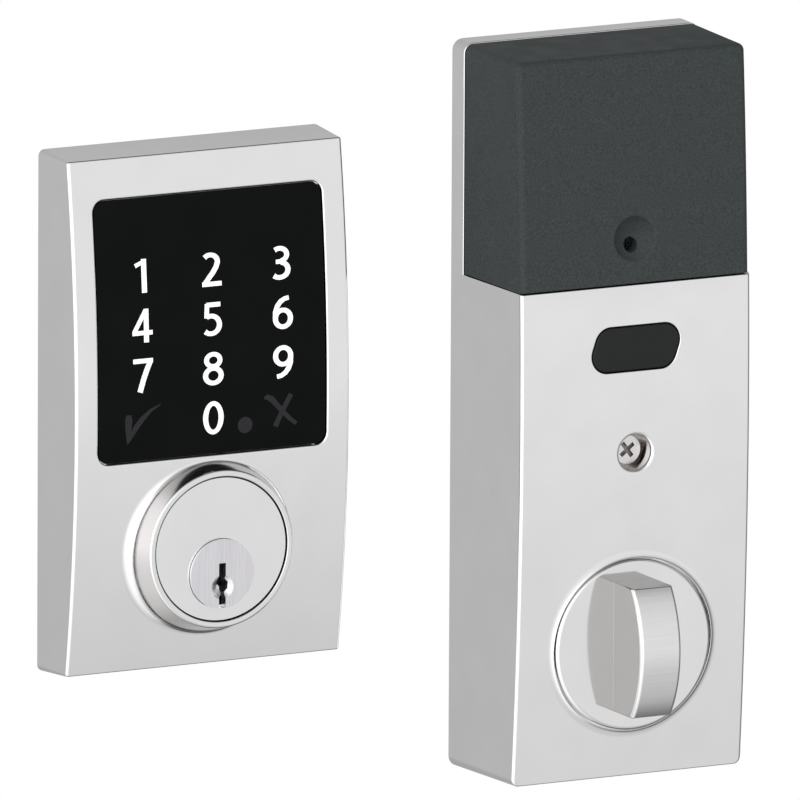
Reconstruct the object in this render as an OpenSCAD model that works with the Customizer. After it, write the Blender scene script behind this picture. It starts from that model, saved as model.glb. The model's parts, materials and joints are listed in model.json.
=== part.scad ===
// Keypad smart lock: an outside keypad half and an inside motor half, side by side.
// Both halves stand with their backs on the plane Y = 0 and their fronts towards -Y.
// The origin is on the key plug's axis, where the outside half meets the door.

/* [Outside half] */
// Width across the back edge
ext_width = 83.9; // [80:0.1:90]
// Width across the front edge
ext_front_width = 81.8; // [78:0.1:83]
// Height above the plug axis
ext_top = 113.9; // [110:0.1:120]
// Height below the plug axis
ext_drop = 27.5; // [26:0.1:34]
// Depth at the crown of the bowed front
ext_depth = 20.5; // [20:0.1:22]
// Radius of the bowed front
ext_bow = 450; // [400:10:700]
// Radius of the four upright corners, seen from the front
ext_corner = 1.5; // [1:0.1:3]

/* [Touchscreen] */
// Width of the cover glass
lens_w = 67.6; // [62:0.1:68]
// Height of the cover glass
lens_h = 70.4; // [66:0.1:70.5]
// Height of the glass centre above the plug axis
lens_z = 66.6; // [66:0.1:68]
// Corner radius of the cover glass
lens_r = 3; // [2:0.1:5]
// Pitch between the columns of digits
digit_pitch_x = 20.9; // [18:0.1:22]
// Pitch between the rows of digits
digit_pitch_z = 13.3; // [12:0.1:14]

/* [Lock cylinder] */
// Height of the face disc's centre above the plug axis
disc_z = 6.6; // [6:0.1:7]
// Radius of the face disc
disc_r = 19; // [18:0.1:20]
// Distance of the disc's face from the door
disc_face = 25.9; // [24:0.1:27]
// Radius of the collar where its cone ends, inside the casing
ring_base_r = 24.1; // [23:0.1:24.2]
// Radius of the collar at its front rim
ring_front_r = 21.3; // [21:0.1:22]
// Radius of the key plug
plug_r = 6.6; // [6.2:0.1:6.8]
// Reach of the tailpiece behind the door face
tail_reach = 62; // [45:1:80]

/* [Inside half] */
// Centre of the inside half along X
int_x = 117.4; // [100:0.1:160]
// Width across the back edge
int_width = 71.4; // [70:0.1:75]
// Width across the front edge
int_front_width = 69.3; // [68:0.1:70]
// Height above the plug axis
int_top = 133.5; // [132:0.1:136]
// Height below the plug axis
int_drop = 65.3; // [64:0.1:70]
// Depth at the crown of the bowed front
int_depth = 39; // [38.6:0.1:40]
// Radius of the bowed front
int_bow = 1243; // [1200:10:2000]
// Radius of the four upright corners, seen from the front
int_corner = 3; // [2:0.1:4]
// Height of the seam under the battery cover
seam_z = 70.3; // [69:0.1:71]
// Depth of the shallow rim behind the battery cover
rim_depth = 6.65; // [5:0.05:8]

/* [Thumbturn] */
// Height of the thumbturn axis
turn_z = -27.9; // [-29:0.1:-27]
// Radius of the thumbturn's disc
turn_disc_r = 23.35; // [22:0.05:23.5]
// Thickness of the thumbturn's grip
grip_w = 12.3; // [10:0.1:14]
// Length of the thumbturn's grip
grip_h = 35.4; // [30:0.2:38]
// Reach of the grip's crown in front of the disc
grip_reach = 16; // [15:0.5:20]

/* [Gears] */
// Module of the gear teeth
gear_module = 0.8; // [0.8]
// Teeth on the main gear
main_teeth = 54; // [54]
// Teeth on each pinion
pinion_teeth = 12; // [12]
// Teeth on the compound gear's wheel
wheel_teeth = 40; // [40]
// Direction from the main gear to the compound gear
compound_angle = 122; // [120:1:124]
// Direction from the compound gear to the motor
motor_angle = 30; // [24:1:32]

/* [Hidden] */
$fn = 96;

// walls and fits
wall = 2.2;
cover_wall = 2;
plate_t = 1.4;
gasket_t = 1.2;
run_gap = 0.05;
side_gap = 0.3;
draft = 1;
far = 60;

// outside half: plates behind the casing
plate_front = -gasket_t - plate_t;
plate_inset = 2.4;
post_x = 20.5;
post_r = 3.9;
post_bore_r = 2.1;
post_end = 22;
corner_x = 30.5;
corner_low = -16.5;
corner_high = 105.4;
grommet_z = 19.5;
grommet_r = 5;
cyl_screw_x = 13;
cyl_screw_z = 12;

// outside half: screen stack, counted from the door
lens_sink = 0.35;
lens_t = 1.6;
seal_t = 0.8;
ledge_depth = 4.4;
ledge_w = 3;
board_y = -10.2;
board_t = 1.6;
carrier_x = 34.9;
carrier_low = 34.5;
carrier_high = 98.7;
digit_low_z = 41.2;
carrier_front = board_y + 0.1;
carrier_back = board_y + 2.1;
carrier_screw_end = -14;
small_screw_r = 1.1;
corner_screw_r = 1.3;
corner_screw_end = -11.5;

// cylinder and plug
plug_bore_r = plug_r + run_gap;
plug_face_r = 9.4;
plug_face_back = -23.8;
barrel_r = 9.6;
barrel_end = 2.7;
pin_r = 1.35;
pin_bore_r = pin_r + run_gap;
pin_first_y = -20.4;
pin_pitch = 3.6;
pin_count = 5;
bible_end = -4.5;
bible_top = 18;
cap_t = 1.3;
cap_front = -22;
cyl_screw_r = 1.5;
cyl_screw_end = -13.5;
plug_tail_r = 5;
plug_tail_end = 4.6;
driver_len = 3.8;
tail_w = 6.4;
tail_t = 2.3;
ring_base_y = -16.4;
ring_end = -12.6;

// inside half: heights and depths
mount_screw_z = 24.6;
button_z = 53.1;
button_w = 26;
button_h = 11.8;
button_face = -38.95;
flange_front = -36.2;
flange_back = -34.5;
dish_z = 82.7;
cover_screw_z = 80.6;
floor_back = -1.7;
floor_t = 1.3;
cell_r = 7.2;
cell_len = 49.5;
cell_button = 1.2;
cell_pitch = 14.6;
cell_back_y = -11.3;
cell_low_z = 106.2;
pcb_front = -27;
pcb_t = 1.6;
pcb_back = pcb_front + pcb_t;
chassis_front = -22.6;
chassis_back = -21;
pocket_y = -35.9;
disc_back = -36.2;
disc_front = -38.6;
hub_r = 7.95;
hub_back = -1;
gear_seat_r = 7;
socket_depth = 20;
grip_foot_r = 5;
bushing_r = 11;
bushing_step = -33.4;
gear_front = -31.1;
wheel_front = -27.2;
wheel_back = -24.2;
gear_pin_r = 1.5;
motor_shaft_r = 1;
motor_nose_r = 3;
bolt_hole_r = 2.75;
mount_head_seat = -31.6;
mount_head_r = 4.85;
cover_screw_seat = -30.9;
cover_screw_r = 1.4;
board_screw_end = -33;
chassis_screw_end = -30;

// gear places
gear_play = 0.25;
pressure_angle = 25;
stage_1 = gear_module * (main_teeth + pinion_teeth) / 2;
stage_2 = gear_module * (wheel_teeth + pinion_teeth) / 2;
compound_x = stage_1 * cos(compound_angle);
compound_z = turn_z + stage_1 * sin(compound_angle);
motor_x = compound_x + stage_2 * cos(motor_angle);
motor_z = compound_z + stage_2 * sin(motor_angle);

// ---------- shared shapes ----------

// A flat outline drawn in X and Z, made solid between two depths
module slab(y_front, y_back) {
  translate([0, y_back, 0])
    rotate([90, 0, 0])
      linear_extrude(y_back - y_front)
        children();
}

// A round rod along Y, which may be a cone
module rod(r, y_front, y_back, r_back = -1) {
  translate([0, y_back, 0])
    rotate([90, 0, 0])
      cylinder(r1 = r_back < 0 ? r : r_back, r2 = r, h = y_back - y_front);
}

// A box between two opposite corners
module block(low, high) {
  translate(low)
    cube(high - low);
}

// Children at each place, given as X and Z
module at(places) {
  for (p = places)
    translate([p[0], 0, p[1]])
      children();
}

// A rectangle with round corners, centred
module round_rect(w, h, r) {
  square([w - 2 * r, h], center = true);
  square([w, h - 2 * r], center = true);
  for (sx = [-1, 1], sy = [-1, 1])
    translate([sx * (w / 2 - r), sy * (h / 2 - r)])
      circle(r);
}

// A bar with fully round ends, centred
module stadium(w, h) {
  square([w - h, h], center = true);
  for (s = [-1, 1])
    translate([s * (w - h) / 2, 0])
      circle(h / 2);
}

// A casing's outer form: drafted sides and ends, round corners and a front bowed about X
module bowed_block(w_back, w_front, low, high, depth, bow, corner, inset) {
  side_back = w_back / 2 - inset;
  side_front = w_front / 2 - inset;
  mid = (low + high) / 2;
  intersection() {
    translate([0, 0, low])
      linear_extrude(high - low)
        polygon([[-side_back, 0], [side_back, 0], [side_front, -depth], [-side_front, -depth]]);
    rotate([90, 0, 90])
      linear_extrude(w_back + 2, center = true)
        polygon([
          [0, low + inset], [-depth, low + draft + inset],
          [-depth, high - draft - inset], [0, high - inset]
        ]);
    translate([0, bow - depth, mid])
      rotate([0, 90, 0])
        cylinder(r = bow - inset, h = w_back + 2, center = true, $fn = 360);
    translate([0, 0, mid])
      slab(-depth - 1, 1)
        round_rect(w_back - 2 * inset, high - low - 2 * inset, max(0.5, corner - inset));
  }
}

module ext_block(inset) {
  bowed_block(ext_width, ext_front_width, -ext_drop, ext_top, ext_depth, ext_bow, ext_corner, inset);
}

module int_block(inset) {
  bowed_block(int_width, int_front_width, -int_drop, int_top, int_depth, int_bow, int_corner, inset);
}

// Places the inside half's pieces, drawn about its own centre line
module inside_half() {
  translate([int_x, 0, 0])
    children();
}

// A round wire wound into a helix along Z
module coil_spring(coil_r, wire_r, length, turns, sides = 6, steps = 12) {
  rings = turns * steps;
  rise = (length - 2 * wire_r) / rings;
  points = [
    for (i = [0:rings], k = [0:sides - 1])
      let (turn = i * 360 / steps, around = k * 360 / sides)
      let (reach = coil_r + wire_r * cos(around))
      [reach * cos(turn), reach * sin(turn), wire_r + i * rise + wire_r * sin(around)]
  ];
  walls = [
    for (i = [0:rings - 1], k = [0:sides - 1], half = [0, 1])
      let (next = (k + 1) % sides)
      let (a = i * sides + k, b = i * sides + next)
      half == 0 ? [a, b, b + sides] : [a, b + sides, a + sides]
  ];
  start_cap = [[for (k = [sides - 1:-1:0]) k]];
  end_cap = [[for (k = [0:sides - 1]) rings * sides + k]];
  polyhedron(points, concat(walls, start_cap, end_cap));
}

// Involute of a pressure angle, in degrees
function involute(a) = tan(a) * 180 / PI - a;

// Half the angle that a tooth fills at radius r
function tooth_half(r, teeth) =
  let (pitch_r = gear_module * teeth / 2)
  let (base_r = pitch_r * cos(pressure_angle))
  90 / teeth + involute(pressure_angle) - involute(acos(min(1, base_r / r)))
    - gear_play / 2 / pitch_r * 180 / PI;

// A spur gear's outline with a tooth pointing along the phase angle
module gear_outline(teeth, phase) {
  pitch_r = gear_module * teeth / 2;
  tip_r = pitch_r + 0.9 * gear_module;
  root_r = pitch_r - 1.2 * gear_module;
  flank_r = max(root_r, pitch_r * cos(pressure_angle));
  radii = [for (i = [0:3]) flank_r + (tip_r - flank_r) * i / 3];
  flank = concat(
    [[root_r, tooth_half(flank_r, teeth)]],
    [for (r = radii) [r, tooth_half(r, teeth)]]
  );
  last = len(flank) - 1;
  polygon([
    for (t = [0:teeth - 1], i = [0:2 * last + 1])
      let (rising = i <= last)
      let (p = rising ? flank[i] : flank[2 * last + 1 - i])
      let (a = phase + t * 360 / teeth + (rising ? -p[1] : p[1]))
      [p[0] * cos(a), p[0] * sin(a)]
  ]);
}

// A pan-head screw along Y with its head at the front and a cross recess
module cross_screw(head_r, head_t, shank_r, y_seat, y_end) {
  difference() {
    union() {
      rod(head_r, y_seat - head_t, y_seat);
      rod(shank_r, y_seat, y_end);
    }
    slot = head_r * 0.28;
    block([-head_r * 0.6, y_seat - head_t - 1, -slot / 2], [head_r * 0.6, y_seat - head_t / 2, slot / 2]);
    block([-slot / 2, y_seat - head_t - 1, -head_r * 0.6], [slot / 2, y_seat - head_t / 2, head_r * 0.6]);
  }
}

// The same screw turned round, with its head towards the door
module rear_screw(head_r, head_t, shank_r, y_seat, y_end) {
  mirror([0, 1, 0])
    cross_screw(head_r, head_t, shank_r, -y_seat, -y_end);
}

// ---------- outside half ----------

corner_places = [for (x = [-corner_x, corner_x], z = [corner_low, corner_high]) [x, z]];
carrier_places = [for (x = [-carrier_x, carrier_x], z = [carrier_low, carrier_high]) [x, z]];
cyl_screw_places = [[-cyl_screw_x, cyl_screw_z], [cyl_screw_x, cyl_screw_z]];
post_places = [[-post_x, 0], [post_x, 0]];
symbol_places = [
  for (column = [-1:1], row = [0:3])
    [column * digit_pitch_x, digit_low_z + row * digit_pitch_z]
];

// A band that follows the bowed front between two depths below it
module bow_band(depth_from, depth_to) {
  difference() {
    ext_block(depth_from);
    translate([0, ext_bow - ext_depth, (ext_top - ext_drop) / 2])
      rotate([0, 90, 0])
        cylinder(r = ext_bow - depth_to, h = ext_width + 4, center = true, $fn = 360);
  }
}

module exterior_escutcheon() {
  opening_w = lens_w - 2 * ledge_w;
  opening_h = lens_h - 2 * ledge_w;
  frame_w = lens_w + 6;
  frame_h = lens_h + 5;
  corner_boss_r = 3;
  carrier_boss_r = 2.3;
  plate_seat = plate_front - 0.1;
  color("gainsboro")
    difference() {
      union() {
        difference() {
          ext_block(0);
          difference() {
            ext_block(wall);
            translate([0, 0, lens_z])
              slab(-far, 0)
                square([frame_w, frame_h], center = true);
          }
          intersection() {
            ext_block(wall);
            ext_block(ledge_depth);
          }
          block(
            [wall - ext_width / 2, plate_seat, wall - ext_drop],
            [ext_width / 2 - wall, 1, ext_top - wall]
          );
        }
        intersection() {
          ext_block(wall / 2);
          union() {
            at(corner_places) rod(corner_boss_r, -far, plate_front);
            at(carrier_places) rod(carrier_boss_r, -far, carrier_front);
          }
        }
      }
      translate([0, 0, lens_z])
        slab(-far, 1)
          round_rect(opening_w, opening_h, lens_r);
      difference() {
        translate([0, 0, lens_z])
          slab(-far, 1)
            round_rect(lens_w + 2 * side_gap, lens_h + 2 * side_gap, lens_r + side_gap);
        ext_block(lens_sink + lens_t + seal_t);
      }
      translate([0, 0, disc_z])
        union() {
          rod(ring_front_r + run_gap, -disc_face, ring_base_y, ring_base_r + run_gap);
          rod(ring_base_r + run_gap, ring_base_y - 0.01, 1);
        }
      at(corner_places) rod(corner_screw_r, corner_screw_end - 0.5, 1);
      at(carrier_places) rod(small_screw_r, carrier_screw_end - 0.2, 1);
    }
}

module touchscreen_lens() {
  color([0.05, 0.05, 0.06])
    intersection() {
      bow_band(lens_sink, lens_sink + lens_t);
      translate([0, 0, lens_z])
        slab(-far, 0)
          round_rect(lens_w, lens_h, lens_r);
    }
}

module screen_gasket() {
  color([0.12, 0.12, 0.12])
    intersection() {
      bow_band(lens_sink + lens_t, lens_sink + lens_t + seal_t);
      translate([0, 0, lens_z])
        slab(-far, 0)
          difference() {
            round_rect(lens_w, lens_h, lens_r);
            round_rect(lens_w - 2 * ledge_w, lens_h - 2 * ledge_w, lens_r);
          }
    }
}

module light_guide() {
  guide_front = -14;
  guide_back = -12.4;
  guide_w = lens_w - 7;
  guide_h = lens_h - 7;
  color([0.85, 0.9, 0.95, 0.6])
    difference() {
      translate([0, 0, lens_z])
        slab(guide_front, guide_back)
          round_rect(guide_w, guide_h, lens_r);
      // a hollow over each lamp
      at(symbol_places) rod(2, guide_back - 1, guide_back + 0.4);
    }
}

module digit_leds() {
  led_w = 2;
  led_h = 1.2;
  led_t = 0.7;
  led_back = board_y - board_t;
  color("lightyellow")
    at(symbol_places)
      block([-led_w / 2, led_back - led_t, -led_h / 2], [led_w / 2, led_back, led_h / 2]);
}

module touch_board() {
  touch_w = 64;
  touch_h = 66;
  color("darkgreen")
    translate([0, 0, lens_z])
      slab(board_y - board_t, board_y)
        square([touch_w, touch_h], center = true);
}

module touch_board_connector() {
  shell_w = 14;
  shell_t = 4.6;
  shell_low = 44;
  shell_high = 50;
  shell_wall = 1;
  mouth_w = shell_w - 2.8;
  color("ivory")
    difference() {
      block([-shell_w / 2, board_y, shell_low], [shell_w / 2, board_y + shell_t, shell_high]);
      block(
        [-mouth_w / 2, board_y + shell_wall, shell_low - 1],
        [mouth_w / 2, board_y + shell_t - shell_wall, shell_high - 1.2]
      );
    }
}

module screen_carrier() {
  outer_w = 75;
  outer_h = 69.5;
  window_w = 56;
  window_h = 52;
  corner_r = 2;
  color([0.2, 0.2, 0.22])
    difference() {
      translate([0, 0, lens_z])
        slab(carrier_front, carrier_back)
          difference() {
            round_rect(outer_w, outer_h, corner_r);
            round_rect(window_w, window_h, corner_r);
          }
      at(carrier_places) rod(small_screw_r + 0.2, -far, 1);
    }
}

module screen_carrier_screws() {
  color("silver")
    at(carrier_places)
      rear_screw(2.1, 1.2, small_screw_r, carrier_back, carrier_screw_end);
}

module cylinder_ring() {
  flange_r = ring_base_r + 1.4;
  flange_t = 1.3;
  groove_w = 0.7;
  color("lightgray")
    translate([0, 0, disc_z])
      difference() {
        union() {
          rod(ring_front_r, -disc_face, ring_base_y, ring_base_r);
          rod(ring_base_r, ring_base_y, ring_end);
          rod(flange_r, ring_end - flange_t, ring_end);
        }
        rod(disc_r + groove_w, -far, 1);
      }
}

module cylinder_housing() {
  disc_back_y = 3.4 - disc_face;
  skirt_back_y = -12;
  skirt_t = 2;
  block_w = 8.4;
  lug_r = 3.2;
  key_room_w = 2.4;
  key_room_back = -14;
  key_room_top = -5;
  cap_seat_w = 4;
  color("lightgray")
    difference() {
      union() {
        translate([0, 0, disc_z])
          rod(disc_r, -disc_face, disc_back_y);
        translate([0, 0, disc_z])
          difference() {
            rod(disc_r, disc_back_y, skirt_back_y);
            rod(disc_r - skirt_t, disc_back_y, skirt_back_y + 1);
          }
        rod(barrel_r, disc_back_y, barrel_end);
        block([-block_w / 2, disc_back_y, 0], [block_w / 2, bible_end, bible_top]);
        at(cyl_screw_places) rod(lug_r, disc_back_y, plate_front);
      }
      rod(plug_face_r + 0.1, -far, plug_face_back + run_gap);
      rod(plug_bore_r, -far, far);
      // room behind the lower end of the keyway
      block(
        [-key_room_w / 2, plug_face_back - 0.1, 0.5 - plug_face_r],
        [key_room_w / 2, key_room_back, key_room_top]
      );
      for (i = [0:pin_count - 1])
        translate([0, pin_first_y + i * pin_pitch, plug_r - 1])
          cylinder(r = pin_bore_r, h = bible_top);
      block(
        [-cap_seat_w / 2, cap_front, bible_top - cap_t],
        [cap_seat_w / 2, bible_end + 1, bible_top + 1]
      );
      at(cyl_screw_places) rod(cyl_screw_r, cyl_screw_end - 0.5, 1);
    }
}

// The keyway's outline: a 2 mm slot with one ward, open at the plug's lower edge
module keyway_outline() {
  polygon([
    [-1, 2.9], [1, 2.9], [1, -1.4], [2, -2.4], [2, -4.2], [1, -5.2], [1, -11],
    [-1, -11], [-1, -6.6], [-0.1, -5.6], [-0.1, -3.8], [-1, -2.8]
  ]);
}

module key_plug() {
  face_y = -disc_face - 0.4;
  dimple_z = -3.6;
  dimple_r = 3.3;
  dimple_depth = 1.8;
  color("silver")
    difference() {
      union() {
        rod(plug_face_r, face_y, plug_face_back);
        rod(plug_r, plug_face_back, 3);
        rod(plug_tail_r, 3, plug_tail_end);
      }
      slab(-far, 0.5)
        keyway_outline();
      translate([0, 0, dimple_z])
        rod(dimple_r, face_y - 0.01, face_y + dimple_depth, 0.9);
      for (i = [0:pin_count - 1])
        translate([0, pin_first_y + i * pin_pitch, 1])
          cylinder(r = pin_bore_r, h = plug_r);
      block(
        [-tail_w / 2 - run_gap, 1, -tail_t / 2 - run_gap],
        [tail_w / 2 + run_gap, 5, tail_t / 2 + run_gap]
      );
    }
}

module key_pins() {
  tip_z = 2.1;
  tip_h = 0.9;
  pin_h = 3.35;
  color("goldenrod")
    for (i = [0:pin_count - 1])
      translate([0, pin_first_y + i * pin_pitch, tip_z]) {
        cylinder(r1 = 0.5, r2 = pin_r, h = tip_h);
        translate([0, 0, tip_h])
          cylinder(r = pin_r, h = pin_h);
      }
}

module driver_pins() {
  color("goldenrod")
    for (i = [0:pin_count - 1])
      translate([0, pin_first_y + i * pin_pitch, plug_bore_r + 0.1])
        cylinder(r = pin_r, h = driver_len);
}

module pin_springs() {
  low = plug_bore_r + 0.15 + driver_len;
  length = bible_top - cap_t - low - 0.05;
  color("silver")
    for (i = [0:pin_count - 1])
      translate([0, pin_first_y + i * pin_pitch, low])
        coil_spring(0.95, 0.18, length, 6, 5, 10);
}

module chamber_cap() {
  cap_w = 3.9;
  color("goldenrod")
    block([-cap_w / 2, cap_front + 0.05, bible_top - cap_t], [cap_w / 2, bible_end, bible_top]);
}

module plug_retainer() {
  clip_r = 8.2;
  mouth_h = 6;
  color("dimgray")
    difference() {
      rod(clip_r, 3.05, 4.4);
      rod(plug_tail_r, 2, 6);
      block([-clip_r - 1, 2, -mouth_h / 2], [0, 6, mouth_h / 2]);
    }
}

module tailpiece() {
  head_r = 6.4;
  color("silver")
    difference() {
      union() {
        rod(head_r, plug_tail_end + 0.05, 5.8);
        block([-tail_w / 2, 1.1, -tail_t / 2], [tail_w / 2, tail_reach, tail_t / 2]);
      }
      // shallow score lines where the blade is snapped to length
      for (y = [40:6:58], side = [-1, 1])
        translate([0, y, side * tail_t / 2])
          rotate([45, 0, 0])
            cube([tail_w + 2, 0.7, 0.7], center = true);
    }
}

module cylinder_screws() {
  color("silver")
    at(cyl_screw_places)
      rear_screw(2.7, 1.1, cyl_screw_r, -gasket_t, cyl_screw_end);
}

module mounting_posts() {
  collar_r = 5.2;
  collar_t = 1.2;
  color("silver")
    at(post_places)
      difference() {
        union() {
          rod(post_r, plate_front, post_end);
          rod(collar_r, plate_front - collar_t, plate_front);
        }
        rod(post_bore_r, -far, far);
      }
}

module exterior_plate_outline(inset) {
  low = inset - ext_drop;
  high = ext_top - inset;
  translate([0, (low + high) / 2])
    round_rect(ext_width - 2 * inset, high - low, 2);
}

module exterior_back_plate() {
  color("darkgray")
    difference() {
      slab(plate_front, -gasket_t)
        exterior_plate_outline(plate_inset);
      rod(barrel_r + 0.4, -far, far);
      at(post_places) rod(post_r, -far, far);
      at([[0, grommet_z]]) rod(grommet_r, -far, far);
      at(cyl_screw_places) rod(1.6, -far, far);
      at(corner_places) rod(1.6, -far, far);
    }
}

module exterior_back_plate_screws() {
  color("silver")
    at(corner_places)
      rear_screw(2.6, 1.1, corner_screw_r, -gasket_t, corner_screw_end);
}

module weather_gasket() {
  color([0.1, 0.1, 0.1])
    slab(-gasket_t, 0)
      difference() {
        exterior_plate_outline(plate_inset + 0.1);
        exterior_plate_outline(plate_inset + 3.1);
      }
}

module cable_grommet() {
  lip_r = 6.4;
  cable_bore_r = 3.4;
  color([0.1, 0.1, 0.1])
    at([[0, grommet_z]])
      difference() {
        union() {
          rod(lip_r, plate_front - 1, plate_front);
          rod(grommet_r, plate_front, -gasket_t);
          rod(lip_r, -gasket_t, -0.2);
        }
        rod(cable_bore_r, -far, far);
      }
}

// ---------- inside half ----------

board_post_places = [for (x = [-27, 27], z = [39.5, 63.5]) [x, z]];
chassis_places = [for (x = [-28.3, 28.3], z = [-57, 17]) [x, z]];
upper_screw_places = [[-24, 84], [24, 84]];
bolt_places = [[-post_x, turn_z], [post_x, turn_z]];

module interior_housing() {
  cone_back = -37.9;
  cone_r = 6.3;
  cable_notch = [-9, -3];
  color("gainsboro")
    inside_half()
      difference() {
        union() {
          difference() {
            int_block(0);
            block([-far, -far, seam_z], [far, -rim_depth, int_top + 5]);
            intersection() {
              int_block(wall);
              union() {
                block([-far, -far, -int_drop], [far, 1, seam_z - wall]);
                block([-far, -far, seam_z], [far, floor_back - floor_t, int_top]);
                block([-far, floor_back, -int_drop], [far, 1, int_top]);
              }
            }
          }
          intersection() {
            int_block(wall / 2);
            union() {
              at([[0, turn_z]]) rod(turn_disc_r + 2.65, -far, bushing_step);
              at([[0, mount_screw_z]]) rod(6.2, -far, -5);
              at([[compound_x, compound_z]]) rod(3.2, -far, gear_front - 0.7);
              at(chassis_places) rod(2.6, -far, chassis_front);
              at(board_post_places) rod(2.4, -far, pcb_front);
            }
          }
          at([[0, cover_screw_z]]) rod(3.5, cover_screw_seat + 2, floor_back);
        }
        at([[0, turn_z]]) {
          rod(turn_disc_r + 0.4, -far, pocket_y);
          rod(bushing_r, -far, -30);
        }
        translate([0, 0, button_z])
          slab(-far, -33)
            stadium(button_w + 2 * side_gap, button_h + 2 * side_gap);
        at([[0, mount_screw_z]]) {
          rod(cone_r, 20 - far, cone_back, mount_head_r);
          rod(mount_head_r, -far, mount_head_seat);
          rod(2.2, -far, 1);
        }
        at([[compound_x, compound_z]]) rod(gear_pin_r, -34, -20);
        at([[0, cover_screw_z]]) rod(cover_screw_r + run_gap, -30, -16);
        at(chassis_places) rod(small_screw_r, chassis_screw_end - 1, 1);
        at(board_post_places) rod(small_screw_r, board_screw_end - 1, 1);
        at(upper_screw_places) rod(1.7, -10, 1);
        block([cable_notch[0], -12, seam_z - wall - 1], [cable_notch[1], -5, seam_z + 1]);
      }
}

module battery_cover() {
  dish_r = 6.25;
  dish_depth = 3.4;
  ball_r = (dish_r * dish_r + dish_depth * dish_depth) / 2 / dish_depth;
  dish_face = -37.9;
  dish_wall_r = 8.2;
  screw_boss_r = 4.2;
  skin_gap = 0.15;
  color([0.24, 0.26, 0.26])
    inside_half()
      difference() {
        union() {
          difference() {
            intersection() {
              int_block(skin_gap);
              block([-far, -far, seam_z + side_gap], [far, -rim_depth - side_gap, int_top + 5]);
            }
            intersection() {
              int_block(skin_gap + cover_wall);
              block([-far, -far, seam_z + side_gap + cover_wall], [far, 1, int_top + 5]);
            }
          }
          at([[0, dish_z]]) rod(dish_wall_r, -37, -32.6);
          at([[0, cover_screw_z]]) rod(screw_boss_r, -36, -29.3);
        }
        translate([0, dish_face + dish_depth - ball_r, dish_z])
          sphere(ball_r);
        at([[0, cover_screw_z]]) {
          rod(2, -far, cover_screw_seat);
          rod(cover_screw_r + 0.1, -far, 1);
        }
        // way for the battery leads
        block([-12, -16, seam_z], [0, 1, seam_z + 4]);
      }
}

module cover_screw() {
  color("silver")
    inside_half()
      at([[0, cover_screw_z]])
        cross_screw(1.9, 1.5, cover_screw_r, cover_screw_seat, -18);
}

// Children at each of the four battery places, with the cell's middle at the origin
module at_cells() {
  for (layer = [0, 1], row = [0, 1])
    translate([0, cell_back_y - layer * cell_pitch, cell_low_z + row * cell_pitch])
      mirror([(layer + row) % 2, 0, 0])
        children();
}

module battery_tray() {
  tray_x = 30;
  tray_wall = 1.2;
  tray_floor = 0.8;
  tray_front = -30.5;
  low = cell_low_z - cell_r - 1.8;
  high = cell_low_z + cell_pitch + cell_r + 1.8;
  back = floor_back - floor_t;
  color([0.15, 0.15, 0.16])
    inside_half()
      difference() {
        block([-tray_x, tray_front, low], [tray_x, back, high]);
        block(
          [tray_wall - tray_x, -far, low + tray_wall],
          [tray_x - tray_wall, back - tray_floor, high - tray_wall]
        );
      }
}

module aa_cells() {
  button_r = 2.7;
  color("steelblue")
    inside_half()
      at_cells() {
        translate([-cell_len / 2, 0, 0])
          rotate([0, 90, 0])
            cylinder(r = cell_r, h = cell_len);
        translate([cell_len / 2, 0, 0])
          rotate([0, 90, 0])
            cylinder(r = button_r, h = cell_button);
      }
}

module battery_springs() {
  spring_x = 28.6;
  reach = spring_x - cell_len / 2;
  color("silver")
    inside_half()
      at_cells()
        translate([-spring_x, 0, 0])
          rotate([0, 90, 0])
            coil_spring(2.8, 0.35, reach, 4);
}

module battery_terminals() {
  tab_x = 28.2;
  tab_t = 0.5;
  tab_half = 4.5;
  color("silver")
    inside_half()
      at_cells() {
        block([tab_x, -tab_half, -tab_half], [tab_x + tab_t, tab_half, tab_half]);
        translate([cell_len / 2 + cell_button, 0, 0])
          rotate([0, 90, 0])
            cylinder(r = 2, h = 2.4);
      }
}

module upper_housing_screws() {
  color("silver")
    inside_half()
      at(upper_screw_places)
        cross_screw(3.2, 1.9, 1.5, floor_back - floor_t, -0.3);
}

module housing_screw() {
  color("silver")
    inside_half()
      at([[0, mount_screw_z]])
        cross_screw(4, 2.6, 1.95, mount_head_seat, -0.4);
}

module oval_button() {
  rim_w = 1.7;
  stem_r = 1.8;
  color([0.14, 0.15, 0.15])
    inside_half()
      translate([0, 0, button_z]) {
        slab(button_face, flange_back)
          stadium(button_w, button_h);
        slab(flange_front, flange_back)
          stadium(button_w + 2 * rim_w, button_h + 2 * rim_w);
        rod(stem_r, flange_back, -31.6);
      }
}

module button_spring() {
  color("silver")
    inside_half()
      translate([0, pcb_front, button_z])
        rotate([90, 0, 0])
          coil_spring(5.2, 0.3, pcb_front - flange_back - 0.05, 4);
}

module tact_switch() {
  body_half = 3;
  body_front = pcb_front - 2.4;
  color("dimgray")
    inside_half()
      translate([0, 0, button_z]) {
        block([-body_half, body_front, -body_half], [body_half, pcb_front, body_half]);
        rod(1.6, body_front - 1, body_front);
      }
}

module control_board() {
  pcb_x = 30;
  pcb_low = 36;
  pcb_high = 67;
  color("darkgreen")
    inside_half()
      difference() {
        block([-pcb_x, pcb_front, pcb_low], [pcb_x, pcb_back, pcb_high]);
        at(board_post_places) rod(1.4, -far, 0);
      }
}

module board_screws() {
  color("silver")
    inside_half()
      at(board_post_places)
        rear_screw(2.3, 1.4, small_screw_r, pcb_back, board_screw_end);
}

module cable_socket() {
  left = -24;
  right = -10;
  low = 44;
  high = 52;
  depth = 6;
  wall_x = 1.4;
  wall_y = 1.2;
  color("ivory")
    inside_half()
      difference() {
        block([left, pcb_back, low], [right, pcb_back + depth, high]);
        block(
          [left + wall_x, pcb_back + wall_y, low - 1],
          [right - wall_x, pcb_back + depth - wall_y, high - 1.5]
        );
      }
}

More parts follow.
